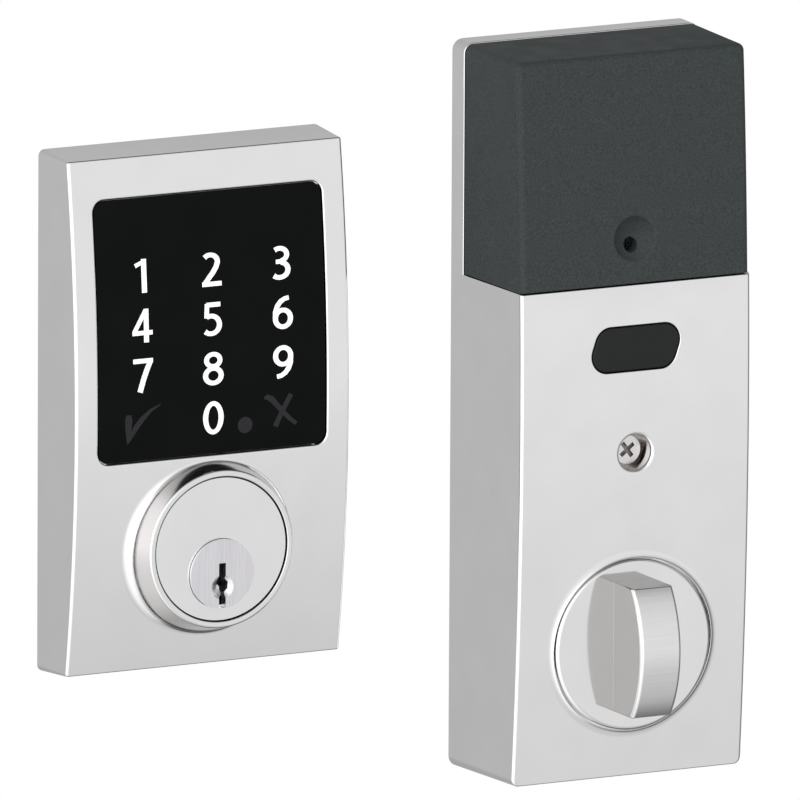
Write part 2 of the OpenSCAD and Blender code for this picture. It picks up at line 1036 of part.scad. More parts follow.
module radio_module() {
  can_t = 2.4;
  color("silver")
    inside_half()
      block([16, pcb_front - can_t, 43], [29, pcb_front, 59]);
}

module alarm_sounder() {
  can_r = 12;
  can_t = 9;
  hole_r = 1.6;
  color([0.1, 0.1, 0.1])
    inside_half()
      at([[8, 52]])
        difference() {
          rod(can_r, pcb_back, pcb_back + can_t);
          rod(hole_r, pcb_back + can_t - 3, pcb_back + can_t + 1);
        }
}

module thumbturn() {
  crown = disc_front - grip_reach;
  sag = 5.5;
  arc_r = (grip_h * grip_h / 4 + sag * sag) / 2 / sag;
  color("silver")
    inside_half()
      translate([0, 0, turn_z]) {
        intersection() {
          block([-grip_w / 2, crown, -grip_h / 2], [grip_w / 2, disc_front, grip_h / 2]);
          translate([0, crown + arc_r, 0])
            rotate([0, 90, 0])
              cylinder(r = arc_r, h = 2 * grip_w, center = true, $fn = 180);
        }
        rod(grip_foot_r, disc_front, disc_back);
      }
}

module thumbturn_disc() {
  bevel = 1;
  color("lightgray")
    inside_half()
      at([[0, turn_z]])
        difference() {
          union() {
            rod(turn_disc_r - bevel, disc_front, disc_front + bevel, turn_disc_r);
            rod(turn_disc_r, disc_front + bevel, disc_back);
          }
          rod(grip_foot_r, -far, far);
        }
}

module spindle_hub() {
  journal_back = gear_front - 0.1;
  cam_front = -20.2;
  cam_back = -17;
  slot_half_w = 3.5;
  slot_half_h = 1.45;
  color("darkgray")
    inside_half()
      at([[0, turn_z]])
        difference() {
          union() {
            rod(hub_r, disc_back, journal_back);
            rod(gear_seat_r, journal_back, hub_back);
            // cam that the position sensor reads
            rod(9.2, cam_front, cam_back);
            block([0, cam_front, -2], [10.6, cam_back, 2]);
          }
          block(
            [-slot_half_w, hub_back - socket_depth, -slot_half_h],
            [slot_half_w, 1, slot_half_h]
          );
        }
}

module turn_bushing() {
  collar_r = 13;
  color("ivory")
    inside_half()
      at([[0, turn_z]])
        difference() {
          union() {
            rod(bushing_r, pocket_y, bushing_step);
            rod(collar_r, bushing_step, bushing_step + 1);
          }
          rod(hub_r + run_gap, -far, 1);
        }
}

module spindle_circlip() {
  clip_r = 10.4;
  clip_front = -32.1;
  clip_back = -31.3;
  mouth_w = 3;
  color("dimgray")
    inside_half()
      at([[0, turn_z]])
        difference() {
          rod(clip_r, clip_front, clip_back);
          rod(hub_r, -far, 1);
          block([-mouth_w / 2, clip_front - 1, 0], [mouth_w / 2, clip_back + 1, clip_r + 1]);
        }
}

module main_gear() {
  gear_t = 3.2;
  web_hole_r = 3.2;
  web_hole_reach = 14;
  color("ivory")
    inside_half()
      at([[0, turn_z]])
        difference() {
          slab(gear_front, gear_front + gear_t)
            gear_outline(main_teeth, compound_angle);
          rod(gear_seat_r, -far, 1);
          for (a = [0:60:300])
            rotate([0, a, 0])
              translate([0, 0, web_hole_reach])
                rod(web_hole_r, -far, 1);
        }
}

module compound_gear() {
  boss_r = 4;
  boss_back = -23;
  color("ivory")
    inside_half()
      at([[compound_x, compound_z]])
        difference() {
          union() {
            slab(gear_front, wheel_front)
              gear_outline(pinion_teeth, compound_angle + 180 + 180 / pinion_teeth);
            slab(wheel_front, wheel_back)
              gear_outline(wheel_teeth, motor_angle);
            rod(boss_r, wheel_back, boss_back);
          }
          rod(gear_pin_r + run_gap, -far, 1);
        }
}

module compound_gear_pin() {
  pin_front = -33.6;
  color("silver")
    inside_half()
      at([[compound_x, compound_z]])
        rod(gear_pin_r, pin_front, chassis_back);
}

module motor_pinion() {
  color("goldenrod")
    inside_half()
      at([[motor_x, motor_z]])
        difference() {
          slab(wheel_front - 0.1, wheel_back + 0.1)
            gear_outline(pinion_teeth, motor_angle + 180 + 180 / pinion_teeth);
          rod(motor_shaft_r, -far, 1);
        }
}

module motor_shaft() {
  shaft_end = -12;
  color("silver")
    inside_half()
      at([[motor_x, motor_z]])
        rod(motor_shaft_r, wheel_front - 0.4, shaft_end);
}

module gear_motor() {
  can_r = 8.8;
  can_half_h = 7.2;
  can_back = -4.8;
  color("silver")
    inside_half()
      at([[motor_x, motor_z]])
        difference() {
          union() {
            intersection() {
              rod(can_r, chassis_back, can_back);
              block([-can_r - 1, -far, -can_half_h], [can_r + 1, 1, can_half_h]);
            }
            rod(motor_nose_r, chassis_front, chassis_back);
          }
          rod(motor_shaft_r + run_gap, -far, -11);
        }
}

module gear_chassis() {
  chassis_x = 31;
  chassis_low = -60.5;
  chassis_high = 20.5;
  color([0.3, 0.3, 0.32])
    inside_half()
      difference() {
        block([-chassis_x, chassis_front, chassis_low], [chassis_x, chassis_back, chassis_high]);
        at([[0, turn_z]]) rod(11.6, -far, 1);
        at([[0, mount_screw_z]]) rod(6.6, -far, 1);
        at([[compound_x, compound_z]]) rod(gear_pin_r, -far, 1);
        at([[motor_x, motor_z]]) rod(motor_nose_r, -far, 1);
        at(chassis_places) rod(small_screw_r + 0.2, -far, 1);
      }
}

module chassis_screws() {
  color("silver")
    inside_half()
      at(chassis_places)
        rear_screw(2.4, 1.4, small_screw_r, chassis_back, chassis_screw_end);
}

// A small board beside the spindle with a switch above and below the cam's path
module position_sensor() {
  strip_back = chassis_back + 1.2;
  strip_half_h = 12;
  switch_back = chassis_back + 5;
  switch_h = 4;
  color("darkgreen")
    inside_half()
      translate([0, 0, turn_z]) {
        block([12.2, chassis_back, -strip_half_h], [24, strip_back, strip_half_h]);
        for (z = [-9, 5])
          block([11.6, strip_back, z], [18, switch_back, z + switch_h]);
      }
}

module support_plate() {
  sheet_t = 1.6;
  sheet_w = 65;
  sheet_h = 154;
  sheet_z = 15;
  pillar_r = 4.2;
  pillar_front = -4.7;
  cable_hole_z = turn_z + 21.5;
  color("darkgray")
    inside_half()
      difference() {
        union() {
          translate([0, 0, sheet_z])
            slab(-sheet_t, 0)
              round_rect(sheet_w, sheet_h, 3);
          at([[0, mount_screw_z]]) rod(pillar_r, pillar_front, -sheet_t);
        }
        at([[0, mount_screw_z]]) rod(2, -far, 1);
        at(upper_screw_places) rod(1.5, -far, 1);
        at(bolt_places) rod(bolt_hole_r, -far, 1);
        at([[0, turn_z]]) rod(10.5, -far, 1);
        translate([0, 0, cable_hole_z])
          slab(-far, 1)
            stadium(16, 8);
      }
}

exterior_escutcheon();
touchscreen_lens();
screen_gasket();
light_guide();
digit_leds();
touch_board();
touch_board_connector();
screen_carrier();
screen_carrier_screws();
cylinder_ring();
cylinder_housing();
key_plug();
key_pins();
driver_pins();
pin_springs();
chamber_cap();
plug_retainer();
tailpiece();
cylinder_screws();
mounting_posts();
exterior_back_plate();
exterior_back_plate_screws();
weather_gasket();
cable_grommet();
interior_housing();
battery_cover();
cover_screw();
battery_tray();
aa_cells();
battery_springs();
battery_terminals();
upper_housing_screws();
housing_screw();
oval_button();
button_spring();
tact_switch();
control_board();
board_screws();
cable_socket();
radio_module();
alarm_sounder();
thumbturn();
thumbturn_disc();
spindle_hub();
turn_bushing();
spindle_circlip();
main_gear();
compound_gear();
compound_gear_pin();
motor_pinion();
motor_shaft();
gear_motor();
gear_chassis();
chassis_screws();
position_sensor();
support_plate();
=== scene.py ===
"""Keypad smart lock: the finished look of the outside keypad half and the inside motor half."""

import json
import math

import bmesh
import bpy
from mathutils import Matrix, Vector
from mathutils.geometry import delaunay_2d_cdt


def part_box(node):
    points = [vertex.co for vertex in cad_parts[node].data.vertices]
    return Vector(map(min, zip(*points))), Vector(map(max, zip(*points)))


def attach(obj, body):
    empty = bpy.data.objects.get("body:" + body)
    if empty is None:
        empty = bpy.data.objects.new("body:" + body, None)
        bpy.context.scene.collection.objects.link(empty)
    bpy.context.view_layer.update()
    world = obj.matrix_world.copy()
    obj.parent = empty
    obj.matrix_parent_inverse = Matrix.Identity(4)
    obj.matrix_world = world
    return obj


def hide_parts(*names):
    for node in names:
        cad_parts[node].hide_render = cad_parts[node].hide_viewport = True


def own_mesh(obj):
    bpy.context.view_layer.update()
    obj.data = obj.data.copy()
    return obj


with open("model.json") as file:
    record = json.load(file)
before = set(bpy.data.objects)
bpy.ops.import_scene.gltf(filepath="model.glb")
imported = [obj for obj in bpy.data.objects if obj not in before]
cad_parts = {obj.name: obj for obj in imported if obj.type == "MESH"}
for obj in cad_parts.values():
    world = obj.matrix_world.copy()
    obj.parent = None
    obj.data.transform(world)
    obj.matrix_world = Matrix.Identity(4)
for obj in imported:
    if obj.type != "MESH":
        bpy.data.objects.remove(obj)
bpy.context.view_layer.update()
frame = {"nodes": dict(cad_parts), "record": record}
MM = 0.001


def add_node(tree, kind, inputs=(), **settings):
    """A shader node of a kind, its inputs linked to other nodes' sockets or given values."""
    node = tree.nodes.new("ShaderNode" + kind)
    for key, value in settings.items():
        setattr(node, key, value)
    for key, source in dict(inputs).items():
        if isinstance(source, bpy.types.NodeSocket):
            tree.links.new(source, node.inputs[key])
        else:
            node.inputs[key].default_value = source
    return node


def linked(name, data):
    """A new object for its data, in the scene."""
    thing = bpy.data.objects.new(name, data)
    bpy.context.scene.collection.objects.link(thing)
    return thing


def made_mesh(bm, name):
    """A mesh from a bmesh, which is freed."""
    mesh = bpy.data.meshes.new(name)
    bm.to_mesh(mesh)
    bm.free()
    return mesh


# ---------- camera, floor and light ----------

def direction(azimuth, elevation):
    """Unit vector from the object towards a viewer at that azimuth and elevation."""
    a, e = math.radians(azimuth), math.radians(elevation)
    return Vector((math.sin(a) * math.cos(e), -math.cos(a) * math.cos(e), math.sin(e)))


def aim(thing, place, target, roll=0.0):
    """Puts a camera or lamp at a place, looking at the target, turned by roll degrees."""
    look = (target - place).to_track_quat("-Z", "Y").to_matrix().to_4x4()
    thing.matrix_world = Matrix.Translation(place) @ look @ Matrix.Rotation(math.radians(roll), 4, "Z")


def add_camera():
    """A far camera with a long lens, to the left of the fronts and a little above them."""
    azimuth, elevation, roll = -27.5, 11.5, 0.3
    distance, view_width = 7.0, 213.3 * MM
    target = Vector((56.2, -20.0, 41.0)) * MM
    data = bpy.data.cameras.new("camera")
    data.sensor_width = 36.0
    data.lens = data.sensor_width * distance / view_width
    data.clip_end = 30.0
    camera = linked("camera", data)
    aim(camera, target + distance * direction(azimuth, elevation), target, roll)
    bpy.context.scene.camera = camera


def add_lamp(name, azimuth, elevation, distance, size, power):
    """A round soft lamp, in metres and watts, that lights the object but isn't mirrored in it."""
    data = bpy.data.lights.new(name, "AREA")
    data.shape = "DISK"
    data.size = size
    data.energy = power
    lamp = linked(name, data)
    lamp.visible_glossy = False
    target = Vector((56.0, 0.0, 40.0)) * MM
    aim(lamp, target + distance * direction(azimuth, elevation), target)


def grey_ramp(tree, source, stops):
    """A source turned into a grey by a ramp through (position, value) stops."""
    node = add_node(tree, "ValToRGB", {0: source})
    elements = node.color_ramp.elements
    elements.remove(elements[-1])
    for i, (position, value) in enumerate(stops):
        element = elements.new(position) if i else elements[0]
        element.position = position
        element.color = (value, value, value, 1)
    return node.outputs["Color"]


def add_world():
    """A white studio whose brightness changes with direction, so that chrome has something to show."""
    world = bpy.data.worlds.new("studio")
    bpy.context.scene.world = world
    world.use_nodes = True
    tree = world.node_tree
    tree.nodes.clear()
    place = add_node(tree, "TexCoord")
    split = add_node(tree, "SeparateXYZ", {0: place.outputs["Generated"]})
    forwards = add_node(tree, "Math", {0: split.outputs["Y"], 1: -1}, operation="MULTIPLY")
    around = add_node(tree, "Math", {0: split.outputs["X"], 1: forwards.outputs[0]}, operation="ARCTAN2")
    turn = add_node(tree, "MapRange", {"Value": around.outputs[0], "From Min": -math.pi, "From Max": math.pi})
    by_azimuth = grey_ramp(tree, turn.outputs[0], [
        (0.0, 0.62), (0.085, 0.63), (0.16, 0.58), (0.20, 0.9), (0.25, 1.7), (0.325, 1.9),
        (0.42, 1.8), (0.47, 1.5), (0.52, 1.12), (0.55, 1.0), (0.59, 1.0), (0.635, 0.84),
        (0.67, 0.5), (0.71, 0.28), (0.79, 0.2), (0.86, 0.27), (0.925, 0.60), (1.0, 0.62),
    ])
    rise = add_node(tree, "MapRange", {"Value": split.outputs["Z"], "From Min": -1, "From Max": 1})
    by_height = grey_ramp(tree, rise.outputs[0], [
        (0.0, 0.45), (0.11, 0.62), (0.27, 0.66), (0.305, 0.71), (0.345, 0.75), (0.384, 0.79),
        (0.413, 0.85), (0.47, 0.84), (0.53, 0.84), (0.70, 0.80), (0.766, 0.76), (0.81, 0.70),
        (0.88, 0.42), (0.95, 0.26), (1.0, 0.22),
    ])
    shade = add_node(tree, "Math", {0: by_azimuth, 1: by_height}, operation="MULTIPLY")
    white = (1, 1, 1, 1)
    studio = add_node(tree, "Background", {"Color": white, "Strength": shade.outputs[0]})
    backdrop = add_node(tree, "Background", {"Color": white, "Strength": 1.0})
    seen = add_node(tree, "LightPath").outputs["Is Camera Ray"]
    mix = add_node(tree, "MixShader", {0: seen, 1: studio.outputs[0], 2: backdrop.outputs[0]})
    add_node(tree, "OutputWorld", {"Surface": mix.outputs[0]})


def add_floor():
    """A pale round floor below both halves, smaller than what the view's lowest rays reach."""
    bm = bmesh.new()
    bmesh.ops.create_circle(bm, cap_ends=True, segments=96, radius=0.8)
    mesh = made_mesh(bm, "floor")
    floor = linked("floor", mesh)
    floor.location = (56 * MM, 0, -0.25)
    floor.visible_glossy = False
    paint = Paint("floor_paint", roughness=0.8)
    paint.colour_between(paint.noise(40), (0.80, 0.80, 0.79), (0.84, 0.84, 0.83))
    mesh.materials.append(paint.material)


# ---------- materials ----------

class Paint:
    """A material with one surface shader, and short ways to add detail to it."""

    def __init__(self, name, metallic=0.0, roughness=0.4, values=()):
        self.material = bpy.data.materials.new(name)
        self.material.use_nodes = True
        self.tree = self.material.node_tree
        self.shader = self.tree.nodes["Principled BSDF"].inputs
        self.shader["Metallic"].default_value = metallic
        self.shader["Roughness"].default_value = roughness
        for key, value in dict(values).items():
            self.shader[key].default_value = value
        self.place = self.add("TexCoord").outputs

    def add(self, kind, inputs=(), **settings):
        return add_node(self.tree, kind, inputs, **settings)

    def stretched(self, stretch):
        """Object coordinates in millimetres, scaled along each axis."""
        scale = [s / MM for s in stretch]
        return self.add("Mapping", {"Vector": self.place["Object"], "Scale": scale}).outputs[0]

    def noise(self, size, stretch=(1, 1, 1), detail=2.0):
        """Noise whose blobs are about size millimetres across."""
        inputs = {"Scale": 1 / size, "Detail": detail, "Vector": self.stretched(stretch)}
        return self.add("TexNoise", inputs).outputs["Fac"]

    def cells(self, size):
        """Rounded grains about size millimetres across."""
        inputs = {"Scale": 1 / size, "Vector": self.stretched((1, 1, 1))}
        return self.add("TexVoronoi", inputs, feature="SMOOTH_F1").outputs["Distance"]

    def depth(self, output):
        """The front-to-back part of a place or of a normal."""
        return self.add("SeparateXYZ", {0: self.place[output]}).outputs["Y"]

    def squareness(self):
        """How squarely a surface faces the front or the back: 1 if squarely, 0 on a side."""
        return self.add("Math", {0: self.depth("Normal")}, operation="ABSOLUTE").outputs[0]

    def distance(self, x, z):
        """Distance in millimetres from an axis that runs front to back."""
        inputs = {0: self.stretched((1, 0, 1)), 1: (x, 0, z)}
        return self.add("VectorMath", inputs, operation="DISTANCE").outputs["Value"]

    def spread(self, value, low, high, start=0.3, end=0.7):
        """A value from start to end, mapped to run from low to high."""
        ends = {"From Min": start, "From Max": end, "To Min": low, "To Max": high}
        return self.add("MapRange", {"Value": value, **ends}).outputs[0]

    def mix(self, factor, first, second):
        """The base colour as a mix of two colours or sockets."""
        inputs = {"Factor": factor, "A": first, "B": second}
        mixed = self.add("Mix", inputs, data_type="RGBA").outputs["Result"]
        self.tree.links.new(mixed, self.shader["Base Color"])

    def colour_between(self, value, low, high, start=0.3, end=0.7):
        self.mix(self.spread(value, 0, 1, start, end), (*low, 1), (*high, 1))

    def tint(self, factor, colour):
        """Mixes another colour over the base colour, by a factor from 0 to 1."""
        self.mix(factor, self.shader["Base Color"].links[0].from_socket, (*colour, 1))

    def rough_between(self, value, low, high):
        self.tree.links.new(self.spread(value, low, high), self.shader["Roughness"])

    def bump(self, value, height):
        """Relief of a height in millimetres, laid over any relief already there."""
        inputs = {"Distance": height * MM, "Strength": 1.0, "Height": value}
        if self.shader["Normal"].is_linked:
            inputs["Normal"] = self.shader["Normal"].links[0].from_socket
        self.tree.links.new(self.add("Bump", inputs).outputs[0], self.shader["Normal"])


def chrome(name, colour, low, high, mask=None, tint=None):
    """Plated metal: clear reflections with faint polishing clouds and hairlines, and painted shade where the mask
    is 1, darkened towards the tint colour.
    """
    paint = Paint(name, metallic=1.0)
    dull = tuple(0.965 * c for c in colour)
    paint.colour_between(paint.noise(14, detail=3), dull, colour)
    paint.rough_between(paint.noise(22, detail=4), low, high)
    paint.bump(paint.noise(5), 0.0016)
    paint.bump(paint.noise(0.25, stretch=(0.03, 1, 1), detail=1), 0.00012)
    # painted shade: where the mask is 1 the base colour is darkened
    if mask:
        paint.tint(mask(paint), tint)
    return paint.material


def screw_recess_painted_shade(paint):
    """Mask of painted shade: 1 on the wall of the screw's recess, 0 outside it."""
    return paint.spread(paint.distance(INSIDE_X, SCREW_Z), 1, 0, RECESS_R + 0.02, RECESS_R + 0.12)


def collar_side_painted_shade(paint):
    """Mask of painted shade: 1 on the collar's tapered side, 0 on its front rim."""
    return paint.spread(paint.squareness(), 1, 0, 0.35, 0.75)


def brushed(name, colour, low, high, grain=(1, 1, 0.02), depth=0.002):
    """Brushed metal: long fine lines along the axis where grain is small."""
    paint = Paint(name, metallic=1.0)
    dull = tuple(0.86 * c for c in colour)
    lines = paint.noise(0.22, stretch=grain, detail=3)
    paint.colour_between(lines, dull, colour)
    paint.rough_between(paint.noise(0.4, stretch=grain, detail=2), low, high)
    paint.bump(lines, depth)
    return paint.material


def grip_chrome_painted_shade():
    """The grip's finish: drawn lines across its front, and painted shade on its flat sides, darkened in colour to
    stand in for their darker reflection.
    """
    paint = Paint("grip_chrome_painted_shade", metallic=1.0)
    lines = paint.noise(0.3, stretch=(0.02, 1, 1), detail=3)
    paint.colour_between(lines, (0.83, 0.83, 0.83), (0.87, 0.87, 0.87))
    # painted shade: the flat sides are darkened by how little they face the front
    paint.tint(paint.spread(paint.squareness(), 1, 0, 0.06, 0.22), (0.345, 0.335, 0.325))
    paint.rough_between(paint.noise(0.6, stretch=(0.05, 1, 1)), 0.16, 0.24)
    paint.bump(lines, 0.0005)
    return paint.material


def screw_chrome_painted_shade():
    """Plated metal of the recessed screw head, with painted shade in its cross and round its side."""
    front = mm_box("housing_screw")[0].y
    paint = Paint("screw_chrome_painted_shade", metallic=1.0)
    # painted shade: the colour turns dark deeper than the head's front
    paint.colour_between(paint.depth("Object"), (0.80, 0.79, 0.79), (0.22, 0.205, 0.195),
                         (front + 0.25) * MM, (front + 0.9) * MM)
    paint.rough_between(paint.noise(2), 0.12, 0.24)
    paint.bump(paint.noise(0.6), 0.0015)
    return paint.material


def plastic(name, colour, roughness, grain=0.35, depth=0.01, speckle=0.12, shine=0.5, glow=()):
    """Moulded plastic with a fine pebbled grain and a slight change of tone."""
    paint = Paint(name, values={"Specular IOR Level": shine, **dict(glow)})
    dark = tuple(c * (1 - speckle) for c in colour)
    light = tuple(min(1, c * (1 + speckle)) for c in colour)
    paint.colour_between(paint.noise(grain * 1.6, detail=3), dark, light)
    paint.rough_between(paint.noise(9, detail=3), roughness * 0.9, min(1, roughness * 1.12))
    paint.bump(paint.cells(grain), depth)
    paint.bump(paint.noise(grain * 6), depth * 0.5)
    return paint.material


def black_glass(name):
    """Dark glass with the faint smears that a finger leaves."""
    paint = Paint(name, roughness=0.06, values={"Specular IOR Level": 0.05})
    paint.colour_between(paint.noise(18, detail=4), (0.0030, 0.0034, 0.0036), (0.0042, 0.0046, 0.0048))
    paint.rough_between(paint.noise(11, detail=5), 0.05, 0.16)
    return paint.material


def make_materials():
    """The materials by name: one for each of the record's slots, and four for single pieces."""
    casing, trim = (0.905, 0.90, 0.902), (0.87, 0.87, 0.875)
    made = [
        chrome("casing_chrome", casing, 0.10, 0.15),
        chrome("trim_chrome", trim, 0.06, 0.10),
        # the grip, inside, collar and screw finishes below carry painted shade in their colour
        grip_chrome_painted_shade(),
        chrome("inside_chrome_painted_shade", casing, 0.10, 0.15, screw_recess_painted_shade, (0.60, 0.575, 0.56)),
        chrome("collar_chrome_painted_shade", trim, 0.14, 0.20, collar_side_painted_shade, (0.63, 0.615, 0.61)),
        screw_chrome_painted_shade(),
        brushed("plug_nickel", (0.86, 0.845, 0.88), 0.20, 0.32),
        black_glass("screen_glass"),
        plastic("rubber_black", (0.018, 0.018, 0.018), 0.75, grain=0.5, depth=0.012),
        plastic("clear_plastic", (0.75, 0.80, 0.84), 0.30, grain=0.6, depth=0.004, speckle=0.03),
        plastic("circuit_board", (0.012, 0.085, 0.030), 0.35, grain=0.9, depth=0.006),
        plastic("led_white", (0.88, 0.88, 0.87), 0.35, grain=0.4, depth=0.001, speckle=0.02,
                glow={"Emission Color": (1, 1, 1, 1), "Emission Strength": 0.3}),
        plastic("dark_plastic", (0.020, 0.020, 0.022), 0.50, shine=0.2),
        brushed("brass", (0.78, 0.56, 0.24), 0.20, 0.32, grain=(1, 0.04, 1)),
        brushed("spring_steel", (0.62, 0.62, 0.63), 0.22, 0.34, grain=(0.2, 0.2, 1)),
        brushed("screw_steel", (0.70, 0.70, 0.71), 0.20, 0.30, grain=(0.3, 1, 0.3), depth=0.001),
        brushed("black_steel", (0.030, 0.030, 0.031), 0.40, 0.55, grain=(0.3, 1, 0.3), depth=0.001),
        brushed("plate_steel", (0.58, 0.585, 0.59), 0.28, 0.42, grain=(1, 1, 0.05)),
        plastic("cover_plastic", (0.043, 0.050, 0.050), 0.55, grain=0.30, depth=0.030, speckle=0.25,
                shine=0.14),
        plastic("button_plastic", (0.014, 0.015, 0.015), 0.42, grain=0.30, depth=0.006, shine=0.2),
        plastic("nylon_white", (0.80, 0.77, 0.68), 0.45, grain=0.5, depth=0.005, speckle=0.05),
        plastic("battery_wrap", (0.025, 0.075, 0.20), 0.28, grain=1.2, depth=0.002, speckle=0.08),
    ]
    # the frame's own materials have the slots' names too, so Blender may add a number after a dot
    return {material.name.partition(".")[0]: material for material in made}


# ---------- mesh helpers ----------

def finish_piece(name, mesh, body, slot, *nodes, finish=None):
    """Links a mesh as a piece that rides on a body, in a slot's material, for the CAD nodes it replaces."""
    piece = linked(name, mesh)
    mesh.materials.clear()
    mesh.materials.append(MATERIALS[finish or slot])
    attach(piece, body)
    if nodes:
        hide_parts(*nodes)
    return piece


def node_body(node):
    """The body that a CAD node belongs to."""
    bodies = frame["record"]["behaviour"]["bodies"]
    return next(b for b, nodes in bodies.items() if node in nodes)


def node_slot(node):
    """The record's material slot of a CAD node."""
    return next(s["material_slot"] for s in frame["record"]["subparts"] if s["node"] == node)


def sunk_disc(bm):
    """Lets the face disc lie a little behind the collar's front rim, and fill its bore more closely."""
    sink, edge_depth, rim_r, new_r = 0.6 * MM, 4 * MM, 18.5 * MM, 19.3 * MM
    front = min(v.co.y for v in bm.verts)
    middle = Vector((0, 0, COLLAR_Z * MM))
    for v in bm.verts:
        across = Vector((v.co.x, 0, v.co.z)) - middle
        if v.co.y < front + edge_depth and across.length > rim_r:
            across *= new_r / across.length
            v.co.x, v.co.z = across.x, middle.z + across.z
        if v.co.y < front + 0.1 * MM:
            v.co.y += sink


def turned_cross(bm):
    """Turns a screw about its own axis, to where its cross recess came to rest."""
    spots = [v.co for v in bm.verts]
    middle = Vector([(min(c[i] for c in spots) + max(c[i] for c in spots)) / 2 for i in range(3)])
    turn = Matrix.Rotation(math.radians(52), 3, "Y")
    bmesh.ops.rotate(bm, verts=bm.verts, cent=middle, matrix=turn)


def refined(node, edge, change=None, finish=None):
    """A finished copy of a CAD node: flat faces joined up, edges rounded by edge millimetres, evenly shaded."""
    mesh = frame["nodes"][node].data.copy()
    bm = bmesh.new()
    bm.from_mesh(mesh)
    if change:
        change(bm)
    bmesh.ops.remove_doubles(bm, verts=bm.verts, dist=0.002 * MM)
    bmesh.ops.dissolve_limit(bm, angle_limit=math.radians(0.4), verts=bm.verts, edges=bm.edges)
    for face in bm.faces:
        face.smooth = True
    bm.to_mesh(mesh)
    bm.free()
    normal = mesh.attributes.get("custom_normal")
    if normal:
        mesh.attributes.remove(normal)
    piece = finish_piece(node + "_finished", mesh, node_body(node), node_slot(node), node, finish=finish)
    rounding = piece.modifiers.new("rounding", "BEVEL")
    rounding.width = edge * MM
    rounding.segments = 3
    rounding.limit_method = "ANGLE"
    rounding.angle_limit = math.radians(30)
    piece.modifiers.new("shading", "WEIGHTED_NORMAL").weight = 100


# ---------- outlines, seen from the front, in millimetres ----------

def amount(how_far, *place):
    """A distance that may be one number, or a function of the place and the direction."""
    return how_far(*place) if callable(how_far) else how_far


class Panel:
    """An upright rectangle with round corners.

    Its points run anticlockwise, and there are as many of them however far it is grown.
    """

    def __init__(self, low, high, r_low, r_high=None, marks=(), step=5.0, arc=6):
        self.low, self.high = low, high
        self.r_low, self.r_high = r_low, r_low if r_high is None else r_high
        self.marks, self.step, self.arc = marks, step, arc

    def _between(self, start, end, marks=()):
        """Even places between two ends, and the marks instead of those next to them."""
        count = max(1, round((end - start) / self.step))
        even = [start + (end - start) * i / count for i in range(1, count)]
        clear = [v for v in even if all(abs(v - m) > self.step / 2 for m in marks)]
        return sorted(clear + [m for m in marks if start < m < end])

    def base(self):
        """Points before growing: corner x and z signs, place along the side, direction, corner radius."""
        (x0, z0), (x1, z1) = self.low, self.high
        up = self._between(z0 + self.r_low, z1 - self.r_high, self.marks)
        low_across = self._between(x0 + self.r_low, x1 - self.r_low)
        high_across = self._between(x0 + self.r_high, x1 - self.r_high)
        rows = []
        for sx, sz, start, r in ((1, -1, -90, self.r_low), (1, 1, 0, self.r_high),
                                 (-1, 1, 90, self.r_high), (-1, -1, 180, self.r_low)):
            for i in range(self.arc + 1):
                rows.append(("corner", sx, sz, math.radians(start + 90 * i / self.arc), r))
            side = {(1, -1): up, (1, 1): high_across[::-1], (-1, 1): up[::-1], (-1, -1): low_across}[sx, sz]
            rows += [("side", sx, sz, v, r) for v in side]
        return rows

    def at(self, grow=0.0):
        """Each point as (x, z, direction x, direction z), moved outwards by grow, a number or a function."""
        (x0, z0), (x1, z1) = self.low, self.high
        rows = []
        for kind, sx, sz, v, r in self.base():
            if kind == "side":
                upright = sx * sz < 0
                nx, nz = (sx, 0) if upright else (0, sz)
                x, z = ((x1 if sx > 0 else x0), v) if upright else (v, (z1 if sz > 0 else z0))
                g = amount(grow, x, z, nx, nz)
                rows.append((x + g * nx, z + g * nz, nx, nz))
                continue
            nx, nz = math.cos(v), math.sin(v)
            x, z = (x1 if sx > 0 else x0), (z1 if sz > 0 else z0)
            gx = amount(grow, x, z - sz * r, sx, 0)
            gz = amount(grow, x - sx * r, z, 0, sz)
            left = max(r + (gx + gz) / 2, 0.02)
            rows.append((x + sx * (gx - left) + left * nx, z + sz * (gz - left) + left * nz, nx, nz))
        return rows

    def marked(self, mark):
        """Places in a ring of a mark on the right side and on the left."""
        return [i for i, (kind, sx, sz, v, _) in enumerate(self.base())
                if kind == "side" and v == mark and sx * sz < 0]

    def holds(self, x, z, margin):
        """Whether a point is within the rectangle grown by the margin."""
        (x0, z0), (x1, z1) = self.low, self.high
        return x0 - margin < x < x1 + margin and z0 - margin < z < z1 + margin


class Round:
    """A circle."""

    def __init__(self, x, z, r, count=64):
        self.x, self.z, self.r, self.count = x, z, r, count

    def at(self, grow=0.0):
        rows = []
        for i in range(self.count):
            a = 2 * math.pi * i / self.count
            nx, nz = math.cos(a), math.sin(a)
            g = amount(grow, self.x + self.r * nx, self.z + self.r * nz, nx, nz)
            rows.append((self.x + (self.r + g) * nx, self.z + (self.r + g) * nz, nx, nz))
        return rows

    def holds(self, x, z, margin):
        return math.hypot(x - self.x, z - self.z) < self.r + margin


